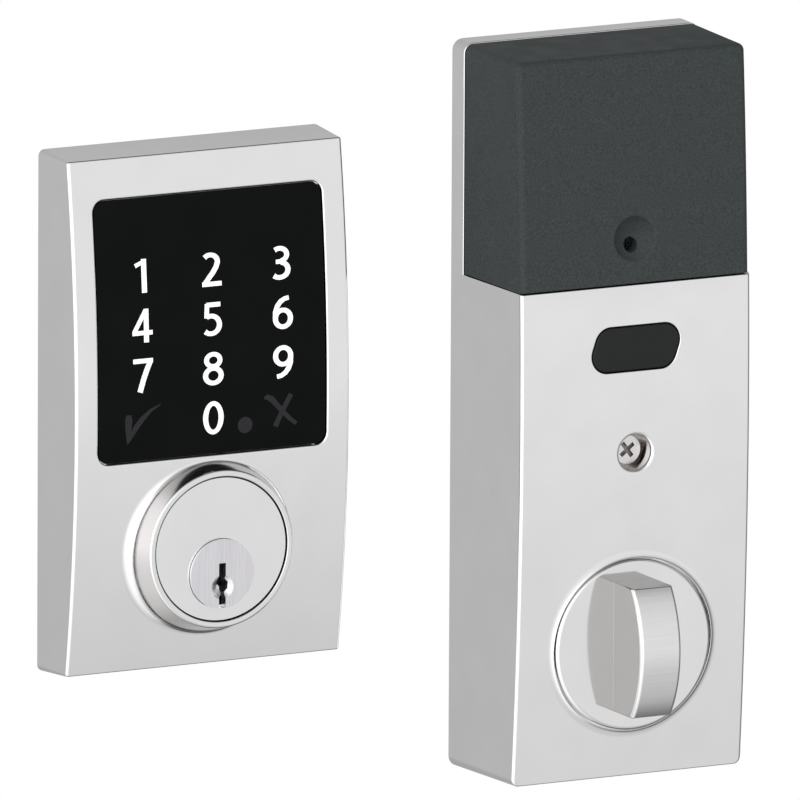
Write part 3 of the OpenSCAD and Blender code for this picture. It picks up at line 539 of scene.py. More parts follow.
class Leaning:
    """A bar with round corners whose ends lean over by an angle in degrees."""

    def __init__(self, x, z, width, height, r, lean, arc=12, step=4.0):
        self.x, self.z, self.width, self.height, self.r = x, z, width, height, r
        self.lean, self.arc, self.step = math.radians(lean), arc, step

    def base(self):
        """The corners' centre points and directions, from the right round the top, then turned about."""
        rise = self.height / 2 - self.r
        shift = rise * math.tan(self.lean)
        reach = self.width / 2 - self.r - shift
        count = round(2 * reach / self.step)
        half = []
        for x, start, end in ((shift + reach, -self.lean, math.pi / 2),
                              (shift - reach, math.pi / 2, math.pi - self.lean)):
            for i in range(self.arc + 1):
                a = start + (end - start) * i / self.arc
                half.append((x, rise, math.cos(a), math.sin(a)))
            if x > 0:
                half += [(x - 2 * reach * i / count, rise, 0.0, 1.0) for i in range(1, count)]
        return half + [tuple(-v for v in row) for row in half]

    def at(self, grow=0.0):
        rows = []
        for x, z, nx, nz in self.base():
            x, z = self.x + x + self.r * nx, self.z + z + self.r * nz
            g = amount(grow, x, z, nx, nz)
            rows.append((x + g * nx, z + g * nz, nx, nz))
        return rows

    def holds(self, x, z, margin):
        return abs(x - self.x) < self.width / 2 + margin and abs(z - self.z) < self.height / 2 + margin


# ---------- skins: closed shells made of rings and filled fronts ----------

class Bow:
    """A front bowed about X, with its crown at a depth, its radius and its middle height."""

    def __init__(self, depth, radius, middle):
        self.depth, self.radius, self.middle = depth, radius, middle

    def __call__(self, x, z):
        rise = z - self.middle
        reach = math.sqrt(self.radius ** 2 - rise ** 2)
        return self.radius - self.depth - reach, Vector((0, -reach, rise)) / self.radius


def level(y):
    """A flat front at a depth."""
    return lambda x, z: (y, Vector((0, -1, 0)))


class Skin:
    """Points with the way each one faces, and the faces between them, in millimetres."""

    def __init__(self):
        self.points, self.ways, self.faces = [], [], []

    def add(self, point, way):
        self.points.append(Vector(point))
        self.ways.append(way.normalized())
        return len(self.points) - 1

    def ring(self, shape, grow, front, sink, angle, side):
        """A ring round a shape: grown, sunk below a front, and facing from its side (0) to the front (90)."""
        a = math.radians(angle)
        ring = []
        for x, z, nx, nz in shape.at(grow):
            y, facing = front(x, z)
            way = Vector((nx * side, 0, nz * side)) * math.cos(a) + facing * math.sin(a)
            ring.append(self.add((x, y + amount(sink, x, z, nx, nz), z), way))
        return ring

    def walk(self, stations):
        """Rings joined in order. Gives the first and the last."""
        rings = [self.ring(*station) for station in stations]
        for a, b in zip(rings, rings[1:]):
            self.bridge(a, b)
        return rings[0], rings[-1]

    def bridge(self, a, b):
        """Faces between two rings of as many points."""
        for i in range(len(a)):
            j = (i + 1) % len(a)
            self.faces.append((a[i], a[j], b[j], b[i]))

    def grid(self, inside, outside, front, sink, back=False, step=(8.0, 4.0), margin=1.0):
        """Points over a front, within one shape and clear of others."""
        (x0, z0), (x1, z1) = inside.low, inside.high
        columns = max(1, round((x1 - x0) / step[0]))
        rows = max(1, round((z1 - z0) / step[1]))
        found = []
        for i in range(1, columns):
            for j in range(1, rows):
                x, z = x0 + (x1 - x0) * i / columns, z0 + (z1 - z0) * j / rows
                if not inside.holds(x, z, -margin - 1) or any(s.holds(x, z, margin) for s in outside):
                    continue
                y, facing = front(x, z)
                found.append(self.add((x, y + sink, z), -facing if back else facing))
        return found

    def fill(self, loops, points=(), creases=()):
        """Triangles that fill the first loop round the others, through the points and along the creases."""
        index, edges = [], []
        for loop in loops:
            start = len(index)
            edges += [(start + i, start + (i + 1) % len(loop)) for i in range(len(loop))]
            index += loop
        index += list(points)
        for crease in creases:
            place = [index.index(i) for i in crease]
            edges += list(zip(place, place[1:]))
        flat = [Vector((self.points[i].x, self.points[i].z)) for i in index]
        result = delaunay_2d_cdt(flat, edges, [], 0, 1e-7)
        places, triangles, sources = result[0], result[2], result[3]
        walls = [(flat[a], flat[b]) for a, b in edges[:sum(len(loop) for loop in loops)]]
        for triangle in triangles:
            middle = sum((places[k] for k in triangle), Vector((0, 0))) / 3
            crossings = sum(
                1 for p, q in walls
                if (p.y > middle.y) != (q.y > middle.y)
                and middle.x < p.x + (q.x - p.x) * (middle.y - p.y) / (q.y - p.y)
            )
            if crossings % 2:
                self.faces.append(tuple(index[sources[k][0]] for k in triangle))

    def cap(self, *rings):
        """One flat face over each ring."""
        self.faces += [tuple(ring) for ring in rings]

    def boss(self, x, z, r, front, sink, end, bore_r, bore_end):
        """A post behind a front, with a blind hole in its end. Gives its ring on the sheet's back."""
        post, hole = Round(x, z, r, 24), Round(x, z, bore_r, 24)
        first, last = self.walk(foot(post, front, sink)[::-1] + tip(post, end, 0.15)[::-1] + [
            (hole, 0.15, level(end), 0, -90, 1), (hole, 0, level(end), -0.15, 0, -1),
            (hole, 0, level(bore_end), NEAR, 0, -1), (hole, -NEAR, level(bore_end), 0, -90, 1),
        ])
        self.cap(last)
        return first

    def build(self, name):
        """The mesh in metres, with shared points joined and each point's own way as its normal."""
        mesh = bpy.data.meshes.new(name)
        mesh.from_pydata([p * MM for p in self.points], [], self.faces)
        way = mesh.attributes.new("way", "FLOAT_VECTOR", "POINT")
        way.data.foreach_set("vector", [c for w in self.ways for c in w])
        bm = bmesh.new()
        bm.from_mesh(mesh)
        bmesh.ops.remove_doubles(bm, verts=bm.verts, dist=0.001 * MM)
        bmesh.ops.recalc_face_normals(bm, faces=bm.faces)
        for face in bm.faces:
            face.smooth = True
        bm.to_mesh(mesh)
        bm.free()
        ways = [tuple(w.vector) for w in mesh.attributes["way"].data]
        mesh.attributes.remove(mesh.attributes["way"])
        mesh.normals_split_custom_set_from_vertices(ways)
        return mesh

    def finish(self, name, body, slot, node, finish=None):
        """Builds the mesh as a piece that replaces a CAD node."""
        finish_piece(name, self.build(name), body, slot, node, finish=finish)


# how far apart in millimetres two rings are that share a sharp corner
NEAR = 0.03


def mouth(shape, y, soft):
    """Stations at the front end of a hole in a flat front, its rim softened."""
    return [(shape, soft, level(y), 0, 90, 1), (shape, 0, level(y), soft, 0, -1)]


def through(shape, front_y, back_y, soft):
    """Stations of a hole through a flat wall, both its rims softened."""
    return mouth(shape, front_y, soft) + [
        (shape, 0, level(back_y), -soft, 0, -1), (shape, soft, level(back_y), 0, -90, 1)]


def bottom(shape, y):
    """Stations where the wall of a blind hole meets its flat bottom."""
    return [(shape, 0, level(y), -NEAR, 0, -1), (shape, -NEAR, level(y), 0, 90, 1)]


def tip(shape, y, soft):
    """Stations at the back end of a post, its rim softened."""
    return [(shape, -soft, level(y), 0, -90, 1), (shape, 0, level(y), -soft, 0, 1)]


def foot(shape, front, sink):
    """Stations where the side of a post meets the back of a sheet."""
    return [(shape, 0, front, sink + NEAR, 0, 1), (shape, NEAR, front, sink, -90, 1)]


def rounded(shape, front, radius, side, grow=0.0, sink=0.0, steps=5):
    """Stations over a rounded edge, from the side to the front. Radius and grow may be functions of the place."""
    stations = []
    for i in range(steps + 1):
        a = math.pi / 2 * i / steps

        def grown(*place, k=1 - math.cos(a)):
            return amount(grow, *place) - side * k * amount(radius, *place)

        def sunk(*place, k=1 - math.sin(a)):
            return sink + k * amount(radius, *place)
        stations.append((shape, grown, front, sunk, 90 * i / steps, side))
    return stations


def moulded(shape, corners, closed=False):
    """Stations round a cross-section of (grow, y, fillet) corners, from the front outwards and round the back."""
    spots = [Vector((grow, -y)) for grow, y, _ in corners]
    stations = []

    def put(spot, way):
        angle = math.degrees(math.atan2(way.y, abs(way.x)))
        stations.append((shape, spot.x, level(0), -spot.y, angle, 1 if way.x >= 0 else -1))

    for i, (spot, corner) in enumerate(zip(spots, corners)):
        into = (spot - spots[i - 1]).normalized()
        out = (spots[(i + 1) % len(spots)] - spot).normalized()
        if not closed and i in (0, len(spots) - 1):
            way = out if i == 0 else into
            put(spot, Vector((-way.y, way.x)))
            continue
        turn = math.atan2(into.x * out.y - into.y * out.x, into.dot(out))
        fillet = corner[2]
        way = Vector((-into.y, into.x))
        bulge = -1 if turn > 0 else 1
        centre = spot - into * fillet * math.tan(abs(turn) / 2) - way * fillet * bulge
        steps = max(2, math.ceil(abs(math.degrees(turn)) / 18))
        for k in range(steps + 1):
            a = turn * k / steps
            facing = Vector((way.x * math.cos(a) - way.y * math.sin(a), way.x * math.sin(a) + way.y * math.cos(a)))
            put(centre + facing * fillet * bulge, facing)
    return stations


def mm_box(node):
    """A CAD node's lowest and highest corners in millimetres."""
    low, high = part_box(node)
    return low / MM, high / MM


def outside_bow():
    """The front of the keypad half's casing."""
    low, high = mm_box("exterior_escutcheon")
    return Bow(-low.y, OUTSIDE_BOW, (low.z + high.z) / 2)


def soft_edge(x, z, nx, nz):
    """Edge radius of a casting: larger down its sides than along its top and bottom."""
    return 0.4 + 0.6 * nx * nx


def door_edge(shape):
    """Stations of a casing's outer rim on the door."""
    return [(shape, -0.25, level(0), 0, -90, 1), (shape, 0, level(0), -0.25, 3, 1)]


def outside_casing():
    """The bowed casting of the keypad half: window with its ledge, flared cylinder hole, screw posts."""
    low, high = mm_box("exterior_escutcheon")
    lens_low, lens_high = mm_box("touchscreen_lens")
    glass_gap = 0.3
    shape = Panel((low.x, low.z), (high.x, high.z), 1.8)
    bow = outside_bow()
    window = Panel((lens_low.x - glass_gap, lens_low.z - glass_gap),
                   (lens_high.x + glass_gap, lens_high.z + glass_gap), 3.3)
    skin = Skin()
    rim, front = skin.walk(door_edge(shape) + rounded(shape, bow, soft_edge, 1, grow=-DRAFT))
    first, inner = skin.walk([
        (shape, 0.25 - WALL, level(0), 0, -90, 1), (shape, -WALL, level(0), -0.25, 0, -1),
        (shape, -WALL - DRAFT, bow, WALL + NEAR, 0, -1), (shape, -WALL - DRAFT - NEAR, bow, WALL, -90, 1)])
    skin.bridge(first, rim)

    wide = 2.8

    def frame_edge(extra):
        """Outer edge of the frame behind the window, drawn in next to the cylinder hole and the posts."""
        return lambda x, z, nx, nz: extra + wide - 2.7 * abs(nz)

    ledge, frame_back, ledge_in, soft = 2.75, 4.4, -3.3, 0.2
    lip, frame_foot = skin.walk(
        rounded(window, bow, 0.55, -1)[::-1]
        + [(window, 0, bow, ledge - NEAR, 0, -1), (window, -NEAR, bow, ledge, 90, 1),
           (window, ledge_in + soft, bow, ledge, 90, 1), (window, ledge_in, bow, ledge + soft, 0, -1),
           (window, ledge_in, bow, frame_back - soft, 0, -1), (window, ledge_in + soft, bow, frame_back, -90, 1),
           (window, frame_edge(-soft), bow, frame_back, -90, 1),
           (window, frame_edge(0), bow, frame_back - soft, 0, 1),
           (window, frame_edge(0), bow, WALL + NEAR, 0, 1), (window, frame_edge(NEAR), bow, WALL, -90, 1)])

    collar_r, cone_r, collar_front, fit_r, taper = 22, 24.15, 25.9, 21.36, 0.2947
    collar = Round(0, COLLAR_Z, collar_r, 96)
    rise, last_angle, steps = 1.2, 84, 7

    def seat(sink, extra=0.0):
        """How far the hole is grown to follow the collar's cone at a depth below the front."""
        return lambda x, z, nx, nz: extra - collar_r + min(
            cone_r, fit_r + taper * (bow(x, z)[0] + sink + collar_front))

    swell = []
    for i in range(steps + 1):
        angle = last_angle * i / steps
        a = math.radians(angle)

        def flare(x, z, nx, nz, k=1 - math.sin(a)):
            """The swell's foot: narrower above the hole, much wider to its left."""
            return seat(-rise)(x, z, nx, nz) + k * (1.3 - 0.45 * max(0, nz) ** 4 + 2.5 * max(0, -nx) ** 2)
        swell.append((collar, flare, bow, -rise * (1 - math.cos(a)), 90 - angle, 1))
    swell_foot, hole_back = skin.walk(swell + [
        (collar, seat(-rise, -0.02), bow, 0.06 - rise, 0, -1),
        (collar, seat(WALL - NEAR), bow, WALL - NEAR, 0, -1), (collar, seat(WALL, NEAR), bow, WALL, -90, 1)])
    posts = [skin.boss(x, z, 3, bow, WALL, -2.6, 1.3, -12) for x in (-30.5, 30.5) for z in (-16.5, 105.4)]
    swollen = Round(0, COLLAR_Z, 27.9)
    skin.fill([front, lip, swell_foot], skin.grid(shape, [window, swollen], bow, 0))
    framed = Panel((window.low[0] - wide, window.low[1] - wide), (window.high[0] + wide, window.high[1] + wide), 3)
    skin.fill([inner, frame_foot, hole_back] + posts,
              skin.grid(shape, [framed, collar], bow, WALL, back=True, margin=3.5))
    skin.finish("exterior_escutcheon_cast", "lock_body", "casing_chrome", "exterior_escutcheon")


def button_outline(gap):
    """The oval button's outline, grown by a gap all round."""
    low, high = mm_box("oval_button")
    width, height, corner_r, lean = 26, 11.8, 4.5, 19
    return Leaning((low.x + high.x) / 2, (low.z + high.z) / 2, width + 2 * gap, height + 2 * gap,
                   corner_r + gap, lean)


def inside_housing():
    """The deep shell of the motor half, with the shallow battery bay above its seam and bosses inside."""
    low, high = mm_box("interior_housing")
    middle = (low.x + high.x) / 2
    rim_y, floor_y, floor_back_y = -6.65, -3.0, -1.7
    roof, lip_r = SEAM_Z - WALL, 0.3
    steps = (SEAM_Z - lip_r, SEAM_Z - lip_r / 2, SEAM_Z, SEAM_Z + 0.02, SEAM_Z + 0.05)
    shape = Panel((low.x, low.z), (high.x, high.z), 3, marks=(roof, roof + 0.02) + steps)
    bow = Bow(-low.y, INSIDE_BOW, (low.z + high.z) / 2)

    def face(x, z):
        """The front: bowed up to the seam, over a small lip, down the cliff and along the rim."""
        if z > SEAM_Z + 0.01:
            return rim_y, Vector((0, 0, 1)) if z < SEAM_Z + 0.03 else Vector((0, -1, 0))
        y, facing = bow(x, z)
        part = (z - SEAM_Z + lip_r) / lip_r
        if part <= 0:
            return y, facing
        part = min(part, 1.0)
        left = math.sqrt(1 - part * part)
        return y + lip_r * (1 - left), Vector((0, -left, part))

    def under(x, z):
        """The back of the shell: behind the bowed front, then behind the bay's floor."""
        return (bow(x, z)[0] + WALL if z < roof + 0.01 else floor_back_y), Vector((0, -1, 0))

    def lean(front, extra):
        return lambda x, z, nx, nz: extra + DRAFT * front(x, z)[0] / -low.y

    def soft(x, z, nx, nz):
        return soft_edge(x, z, nx, nz) if z < SEAM_Z + 0.01 else 0.3

    skin = Skin()
    rim, front = skin.walk(door_edge(shape) + rounded(shape, face, soft, 1, grow=lean(face, 0)))
    first, inner = skin.walk([
        (shape, 0.25 - WALL, level(0), 0, -90, 1), (shape, -WALL, level(0), -0.25, 0, -1),
        (shape, lean(under, -WALL), under, NEAR, 0, -1), (shape, lean(under, -WALL - NEAR), under, 0, -90, 1)])
    skin.bridge(first, rim)

    slot = button_outline(0.3)
    slot_front, slot_back = skin.walk(rounded(slot, bow, 0.35, -1)[::-1] + [
        (slot, 0, bow, WALL - NEAR, 0, -1), (slot, NEAR, bow, WALL, -90, 1)])

    head_seat_y, boss_y = -31.6, -5
    recess, bore, boss = (Round(middle, SCREW_Z, r, 48) for r in (RECESS_R, 2.2, 6.2))
    recess_front, recess_back = skin.walk(
        rounded(recess, bow, 1.0, -1)[::-1] + bottom(recess, head_seat_y)
        + through(bore, head_seat_y, boss_y, 0.1) + tip(boss, boss_y, 0.2) + foot(boss, bow, WALL))

    disc_low, disc_high = mm_box("thumbturn_disc")
    pocket_y, pocket_back_y = -35.9, -33.4
    pocket, throat, seat = (Round(middle, (disc_low.z + disc_high.z) / 2, r, 96) for r in (23.75, 11, 26))
    rise, width, end, count = 0.5, 1.9, math.radians(70), 6
    bulge = 1 - math.cos(end)
    lip = []
    for i in range(count + 1):
        a = end * i / count
        steep = rise * math.sin(end) / bulge / width * math.tan(a)
        lip.append((pocket, 0.22 + width * (1 - math.sin(a) / math.sin(end)), bow,
                    -rise * (1 - math.cos(a)) / bulge, 90 - math.degrees(math.atan(steep)), 1))
    pocket_front, pocket_back = skin.walk(lip + [
        (pocket, 0.14, bow, -rise, 90, 1), (pocket, 0.04, bow, 0.05 - rise, 45, -1),
        (pocket, 0, bow, 0.15 - rise, 0, -1)]
        + bottom(pocket, pocket_y) + through(throat, pocket_y, pocket_back_y, 0.15)
        + [(seat, -0.2, level(pocket_back_y), 0, -90, 1), (seat, 0, level(pocket_back_y), -0.1, 0, 1)]
        + foot(seat, bow, WALL))

    bay = Panel((low.x + WALL, SEAM_Z + 0.45), (high.x - WALL, high.z - WALL), 1.2)
    bay_front, bay_floor = skin.walk(rounded(bay, level(rim_y), 0.2, -1)[::-1] + bottom(bay, floor_y))
    post_y, thread_y = -28.9, -16
    post, thread = (Round(middle, COVER_SCREW_Z, r, 24) for r in (3.5, 1.45))
    post_foot, thread_end = skin.walk([
        (post, NEAR, level(floor_y), 0, 90, 1), (post, 0, level(floor_y), -NEAR, 0, 1),
        (post, 0, level(post_y), 0.2, 0, 1), (post, -0.2, level(post_y), 0, 90, 1)]
        + mouth(thread, post_y, 0.15) + bottom(thread, thread_y))
    skin.cap(thread_end)
    holes = [skin.walk(through(Round(middle + x, 84, 1.7, 24), floor_y, floor_back_y, 0.1)) for x in (-24, 24)]
    skin.fill([bay_floor, post_foot] + [front_ring for front_ring, _ in holes])

    spots = [(x, z, 2.6, -22.6, -31) for x in (-28.3, 28.3) for z in (-57, 17)]
    spots += [(x, z, 2.4, -27, -34) for x in (-27, 27) for z in (39.5, 63.5)]
    bosses = [skin.boss(middle + x, z, r, bow, WALL, end_y, 1.1, hole_y) for x, z, r, end_y, hole_y in spots]

    def crease(ring, z, front, back_side):
        """A row of points across the shell at a mark, between the ring's two sides."""
        right, left = shape.marked(z)
        row = []
        for x in range(-30, 31, 6):
            y, facing = front(middle + x, z)
            row.append(skin.add((middle + x, y, z), -facing if back_side else facing))
        return [ring[left]] + row + [ring[right]]

    def sheet(loops, dots, rows):
        """Fills a front or a back through its dots and along its creases."""
        skin.fill(loops, dots + [i for row in rows for i in row[1:-1]], rows)

    rows = [crease(front, z, face, False) for z in steps]
    above = Panel((low.x, SEAM_Z - 1.5), (high.x, high.z), 1)
    sheet([front, slot_front, recess_front, pocket_front, bay_front],
          skin.grid(shape, [slot, recess, pocket, above], face, 0, margin=3.0), rows)
    rows = [crease(inner, z, under, True) for z in (roof, roof + 0.02)]
    above = Panel((low.x, roof - 2), (high.x, high.z), 1)
    near_bosses = [Round(middle + x, z, 2.6) for x in (-28.3, 28.3, -27, 27) for z in (-57, 17, 39.5, 63.5)]
    sheet([inner, slot_back, recess_back, pocket_back] + bosses + [back_ring for _, back_ring in holes],
          skin.grid(shape, [slot, boss, seat, above] + near_bosses, bow, WALL, back=True, margin=3.6), rows)
    # the finish darkens the wall of the front screw's recess as painted shade
    skin.finish("interior_housing_cast", "lock_body", "casing_chrome", "interior_housing", "inside_chrome_painted_shade")


def battery_lid():
    """The deep plastic cover with soft edges, a scooped dish and the captive screw's hole in it."""
    low, high = mm_box("battery_cover")
    middle, wall, gap = (low.x + high.x) / 2, 2.0, 0.15
    house_low, house_high = mm_box("interior_housing")
    bow = Bow(-house_low.y - gap, INSIDE_BOW - gap, (house_low.z + house_high.z) / 2)
    shape = Panel((house_low.x + gap, low.z), (house_high.x - gap, house_high.z - gap), 0.4, 2.85)
    back = level(high.y)

    def lean(front, extra):
        """Draft on the sides and the top, none on the bottom."""
        return lambda x, z, nx, nz: extra + DRAFT * front(x, z)[0] / -house_low.y * (1 - max(0, -nz) ** 2)

    def soft(x, z, nx, nz):
        return 0.35 + 1.5 * (1 - max(0, -nz) ** 2)

    skin = Skin()
    rim, front = skin.walk(
        [(shape, lean(back, -0.25), back, 0, -90, 1), (shape, lean(back, 0), back, -0.25, 0, 1)]
        + rounded(shape, bow, soft, 1, grow=lean(bow, 0), steps=7))
    first, inner = skin.walk([
        (shape, lean(back, 0.25 - wall), back, 0, -90, 1), (shape, lean(back, -wall), back, -0.25, 0, -1),
        (shape, lean(bow, -wall), bow, wall + NEAR, 0, -1), (shape, lean(bow, -wall - NEAR), bow, wall, -90, 1)])
    skin.bridge(first, rim)

    dish_z, ball_r, ball_y = 82.7, 7.444, -41.944

    def bowl(x, z):
        """The dish, a part of a ball."""
        dx, dz = x - middle, z - dish_z
        drop = math.sqrt(ball_r ** 2 - dx * dx - dz * dz)
        return ball_y + drop, Vector((-dx, -drop, -dz)) / ball_r

    dish, stub = Round(middle, dish_z, 6.25, 48), Round(middle, dish_z, 8.2, 48)
    dish_front, dish_back = skin.walk([
        (dish, 0.5, bow, 0, 90, -1), (dish, 0.15, bow, 0.07, 72, -1), (dish, -0.08, bow, 0.24, 48, -1),
        (dish, -0.35, bowl, 0, 90, -1)])
    head_y, post_y, stub_y = -30.9, -29.3, -32.6
    hole, bore, post = (Round(middle, COVER_SCREW_Z, r, 24) for r in (2.0, 1.5, 4.2))
    hole_front, post_foot = skin.walk(
        [(hole, 0.12, bowl, 0, 90, -1), (hole, 0, bowl, 0.15, 0, -1)] + bottom(hole, head_y)
        + through(bore, head_y, post_y, 0.05) + tip(post, post_y, 0.15) + foot(post, level(stub_y), 0))
    stub_end, stub_foot = skin.walk(tip(stub, stub_y, 0.2) + foot(stub, bow, wall))
    scoop, step, around = [], 1.2, 20
    for i in range(1, 5):
        for k in range(around):
            a = 2 * math.pi * (k + 0.5 * (i % 2)) / around
            x, z = middle + step * i * math.cos(a), dish_z + step * i * math.sin(a)
            if not hole.holds(x, z, 0.5):
                y, facing = bowl(x, z)
                scoop.append(skin.add((x, y, z), facing))
    skin.fill([dish_back, hole_front], scoop)
    skin.fill([stub_end, post_foot])
    skin.fill([front, dish_front], skin.grid(shape, [dish], bow, 0, margin=2))
    skin.fill([inner, stub_foot], skin.grid(shape, [stub], bow, wall, back=True, margin=2))
    skin.finish("battery_cover_moulded", "battery_cover", "cover_plastic", "battery_cover")


def cover_glass():
    """The black glass, bowed like the casing, with ground edges."""
    low, high = mm_box("touchscreen_lens")
    bow, back_sink = outside_bow(), 1.95
    shape = Panel((low.x, low.z), (high.x, high.z), 3)
    skin = Skin()
    back, front = skin.walk(
        [(shape, -NEAR, bow, back_sink, -90, 1), (shape, 0, bow, back_sink - NEAR, 0, 1)]
        + rounded(shape, bow, 0.3, 1, sink=GLASS_SINK))
    skin.fill([front], skin.grid(shape, [], bow, GLASS_SINK))
    skin.fill([back], skin.grid(shape, [], bow, back_sink, back=True))
    skin.finish("touchscreen_glass", "lock_body", "screen_glass", "touchscreen_lens")


def curve(x, z, rx, rz, start, end, wide, thin, count=20):
    """Part of an oval as a pen path, wide where it runs upright and thin where it runs across."""
    path = []
    for i in range(count + 1):
        a = math.radians(start + (end - start) * i / count)
        path.append((x + rx * math.cos(a), z + rz * math.sin(a), thin + (wide - thin) * math.cos(a) ** 2))
    return path


def digit_paths():
    """Pen paths of the ten digits, 9 mm high about their middles, each point with half the pen's width."""
    six = [
        curve(0.05, -1.6, 2.25, 2.25, 0, 360, 0.75, 0.62, 32),
        [(-2.2, -1.5, 0.75), (-2.1, 0.3, 0.75), (-1.55, 1.8, 0.72), (-0.6, 2.95, 0.68), (0.6, 3.65, 0.62),
         (1.9, 3.87, 0.6)],
    ]
    return {
        "0": [curve(0, 0, 2.3, 3.88, 0, 360, 0.75, 0.62, 40)],
        "1": [[(0.9, -4.5, 0.75), (0.9, 4.5, 0.75)], [(1.1, 3.95, 0.5), (-1.7, 2.75, 0.55)]],
        "2": [curve(-0.25, 2.05, 2.15, 1.82, 140, -15, 0.75, 0.62)
              + [(1.45, 0.6, 0.74), (0.5, -0.8, 0.72), (-0.9, -2.4, 0.7), (-2.1, -3.8, 0.7)],
              [(-2.8, -3.88, 0.62), (2.95, -3.88, 0.62)]],
        "3": [curve(-0.45, 2.2, 2.15, 1.68, 130, -80, 0.72, 0.62),
              curve(-0.55, -1.85, 2.5, 2.03, 80, -135, 0.75, 0.62),
              [(-1.6, 0.36, 0.58), (0.0, 0.36, 0.58)]],
        "4": [[(1.15, -4.5, 0.72), (1.15, 4.5, 0.72)], [(-3.0, -1.9, 0.6), (3.0, -1.9, 0.6)],
              [(0.95, 4.0, 0.62), (-2.5, -1.75, 0.62)]],
        "5": [[(-1.75, 3.88, 0.62), (2.4, 3.88, 0.62)], [(-1.55, 4.2, 0.66), (-1.8, 0.35, 0.66)],
              curve(-0.5, -1.5, 2.5, 2.38, 118, -135, 0.75, 0.62)],
        "6": six,
        "7": [[(-2.9, 3.88, 0.62), (2.95, 3.88, 0.62)],
              [(2.3, 3.9, 0.72), (1.2, 1.6, 0.75), (0.1, -1.2, 0.76), (-0.95, -4.5, 0.78)]],
        "8": [curve(0, 2.25, 2.0, 1.64, 0, 360, 0.72, 0.6, 32),
              curve(0, -1.9, 2.32, 1.98, 0, 360, 0.75, 0.62, 32)],
        "9": [[(-x, -z, w) for x, z, w in path] for path in six],
    }


def printed(name, paths, x, z, bow, slot):
    """Pen paths joined into one thin print on the glass, centred at a place."""
    spots, quads = [], []
    for path in paths:
        loop = math.hypot(path[0][0] - path[-1][0], path[0][1] - path[-1][1]) < 0.01
        start = len(spots)
        for i, (px, pz, w) in enumerate(path):
            before = path[i - 1] if i else path[-2 if loop else 0]
            after = path[i + 1] if i < len(path) - 1 else path[1 if loop else -1]
            way = Vector((after[0] - before[0], after[1] - before[1])).normalized()
            spots += [Vector((px - way.y * w, pz + way.x * w)), Vector((px + way.y * w, pz - way.x * w))]
        quads += [[start + 2 * i + k for k in (0, 1, 3, 2)] for i in range(len(path) - 1)]
    result = delaunay_2d_cdt(spots, [], quads, 1, 1e-4)
    bm = bmesh.new()
    half_thick = 0.05
    layers = []
    for sink in (GLASS_SINK - half_thick, GLASS_SINK + half_thick):
        layers.append([bm.verts.new(Vector((x + v.x, bow(x + v.x, z + v.y)[0] + sink, z + v.y)) * MM)
                       for v in result[0]])
    used = {}
    for triangle, sources in zip(result[2], result[5]):
        if not sources:
            continue
        for layer in layers:
            bm.faces.new([layer[i] for i in triangle])
        for i in range(3):
            edge = tuple(sorted((triangle[i], triangle[(i + 1) % 3])))
            used[edge] = used.get(edge, 0) + 1
    for (a, b), times in used.items():
        if times == 1:
            bm.faces.new((layers[0][a], layers[0][b], layers[1][b], layers[1][a]))
    bmesh.ops.delete(bm, geom=[v for v in bm.verts if not v.link_faces], context="VERTS")
    bmesh.ops.recalc_face_normals(bm, faces=bm.faces)
    finish_piece(name, made_mesh(bm, name), "lock_body", slot)


def keypad_print():
    """Ten lit digits over their lamps, and a tick, a cross and a dot that are dark."""
    low, high = mm_box("digit_leds")
    bow = outside_bow()
    columns = [low.x + 1.25, (low.x + high.x) / 2 + 0.25, high.x - 0.75]
    rows = [high.z - 0.6 - (high.z - low.z - 1.2) * i / 3 for i in range(4)]
    paths = digit_paths()
    for i, text in enumerate("123456789"):
        printed("digit_" + text, paths[text], columns[i % 3], rows[i // 3], bow, "led_white")
    printed("digit_0", paths["0"], columns[1], rows[3], bow, "led_white")
    tick = [
        [(-4.3, 2.9, 0.7), (-4.3, 1.6, 1.1), (-4.4, -1.5, 0.85), (-4.5, -4.7, 0.3)],
        [(-4.7, -4.9, 0.2), (-3.6, -3.0, 0.55), (-2.1, -0.6, 0.8), (-0.2, 1.6, 0.75), (2.3, 3.7, 0.45),
         (5.2, 5.1, 0.12)],
    ]
    cross = [
        [(-5.7, 3.9, 0.3), (-4.9, 4.2, 0.7), (-3.6, 3.6, 0.85), (-2.2, 2.1, 0.75), (-0.3, 0.0, 0.7),
         (1.8, -2.1, 0.6), (3.9, -3.7, 0.5)],
        [(2.3, 4.4, 0.7), (1.0, 2.3, 0.7), (-0.5, -0.3, 0.68), (-1.7, -2.6, 0.75), (-2.4, -4.0, 0.8)],
    ]
    printed("tick_mark", tick, columns[0], rows[3], bow, "dark_plastic")
    printed("cross_mark", cross, columns[2], rows[3], bow, "dark_plastic")
    dot = [curve(0, 0, 1.1, 1.1, 0, 360, 1.099, 1.099, 24)]
    printed("dot_mark", dot, 9.75, rows[3] - 2.8, bow, "dark_plastic")


def cylinder_collar():
    """The tapered collar round the cylinder, with a rounded front rim."""
    low, high = mm_box("cylinder_ring")
    collar = Round((low.x + high.x) / 2, (low.z + high.z) / 2, 0, 128)
    skin = Skin()
    first, last = skin.walk(moulded(collar, [
        (19.7, low.y, 0.3), (21.3, low.y, 0.7), (24.1, -16.4, 0.3), (24.1, high.y - 1.3, 0.1),
        (25.5, high.y - 1.3, 0.15), (25.5, high.y, 0.15), (19.7, high.y, 0.15)], closed=True))
    skin.bridge(last, first)
    # the finish darkens the collar's tapered side as painted shade
    skin.finish("cylinder_collar", "lock_body", "trim_chrome", "cylinder_ring", "collar_chrome_painted_shade")


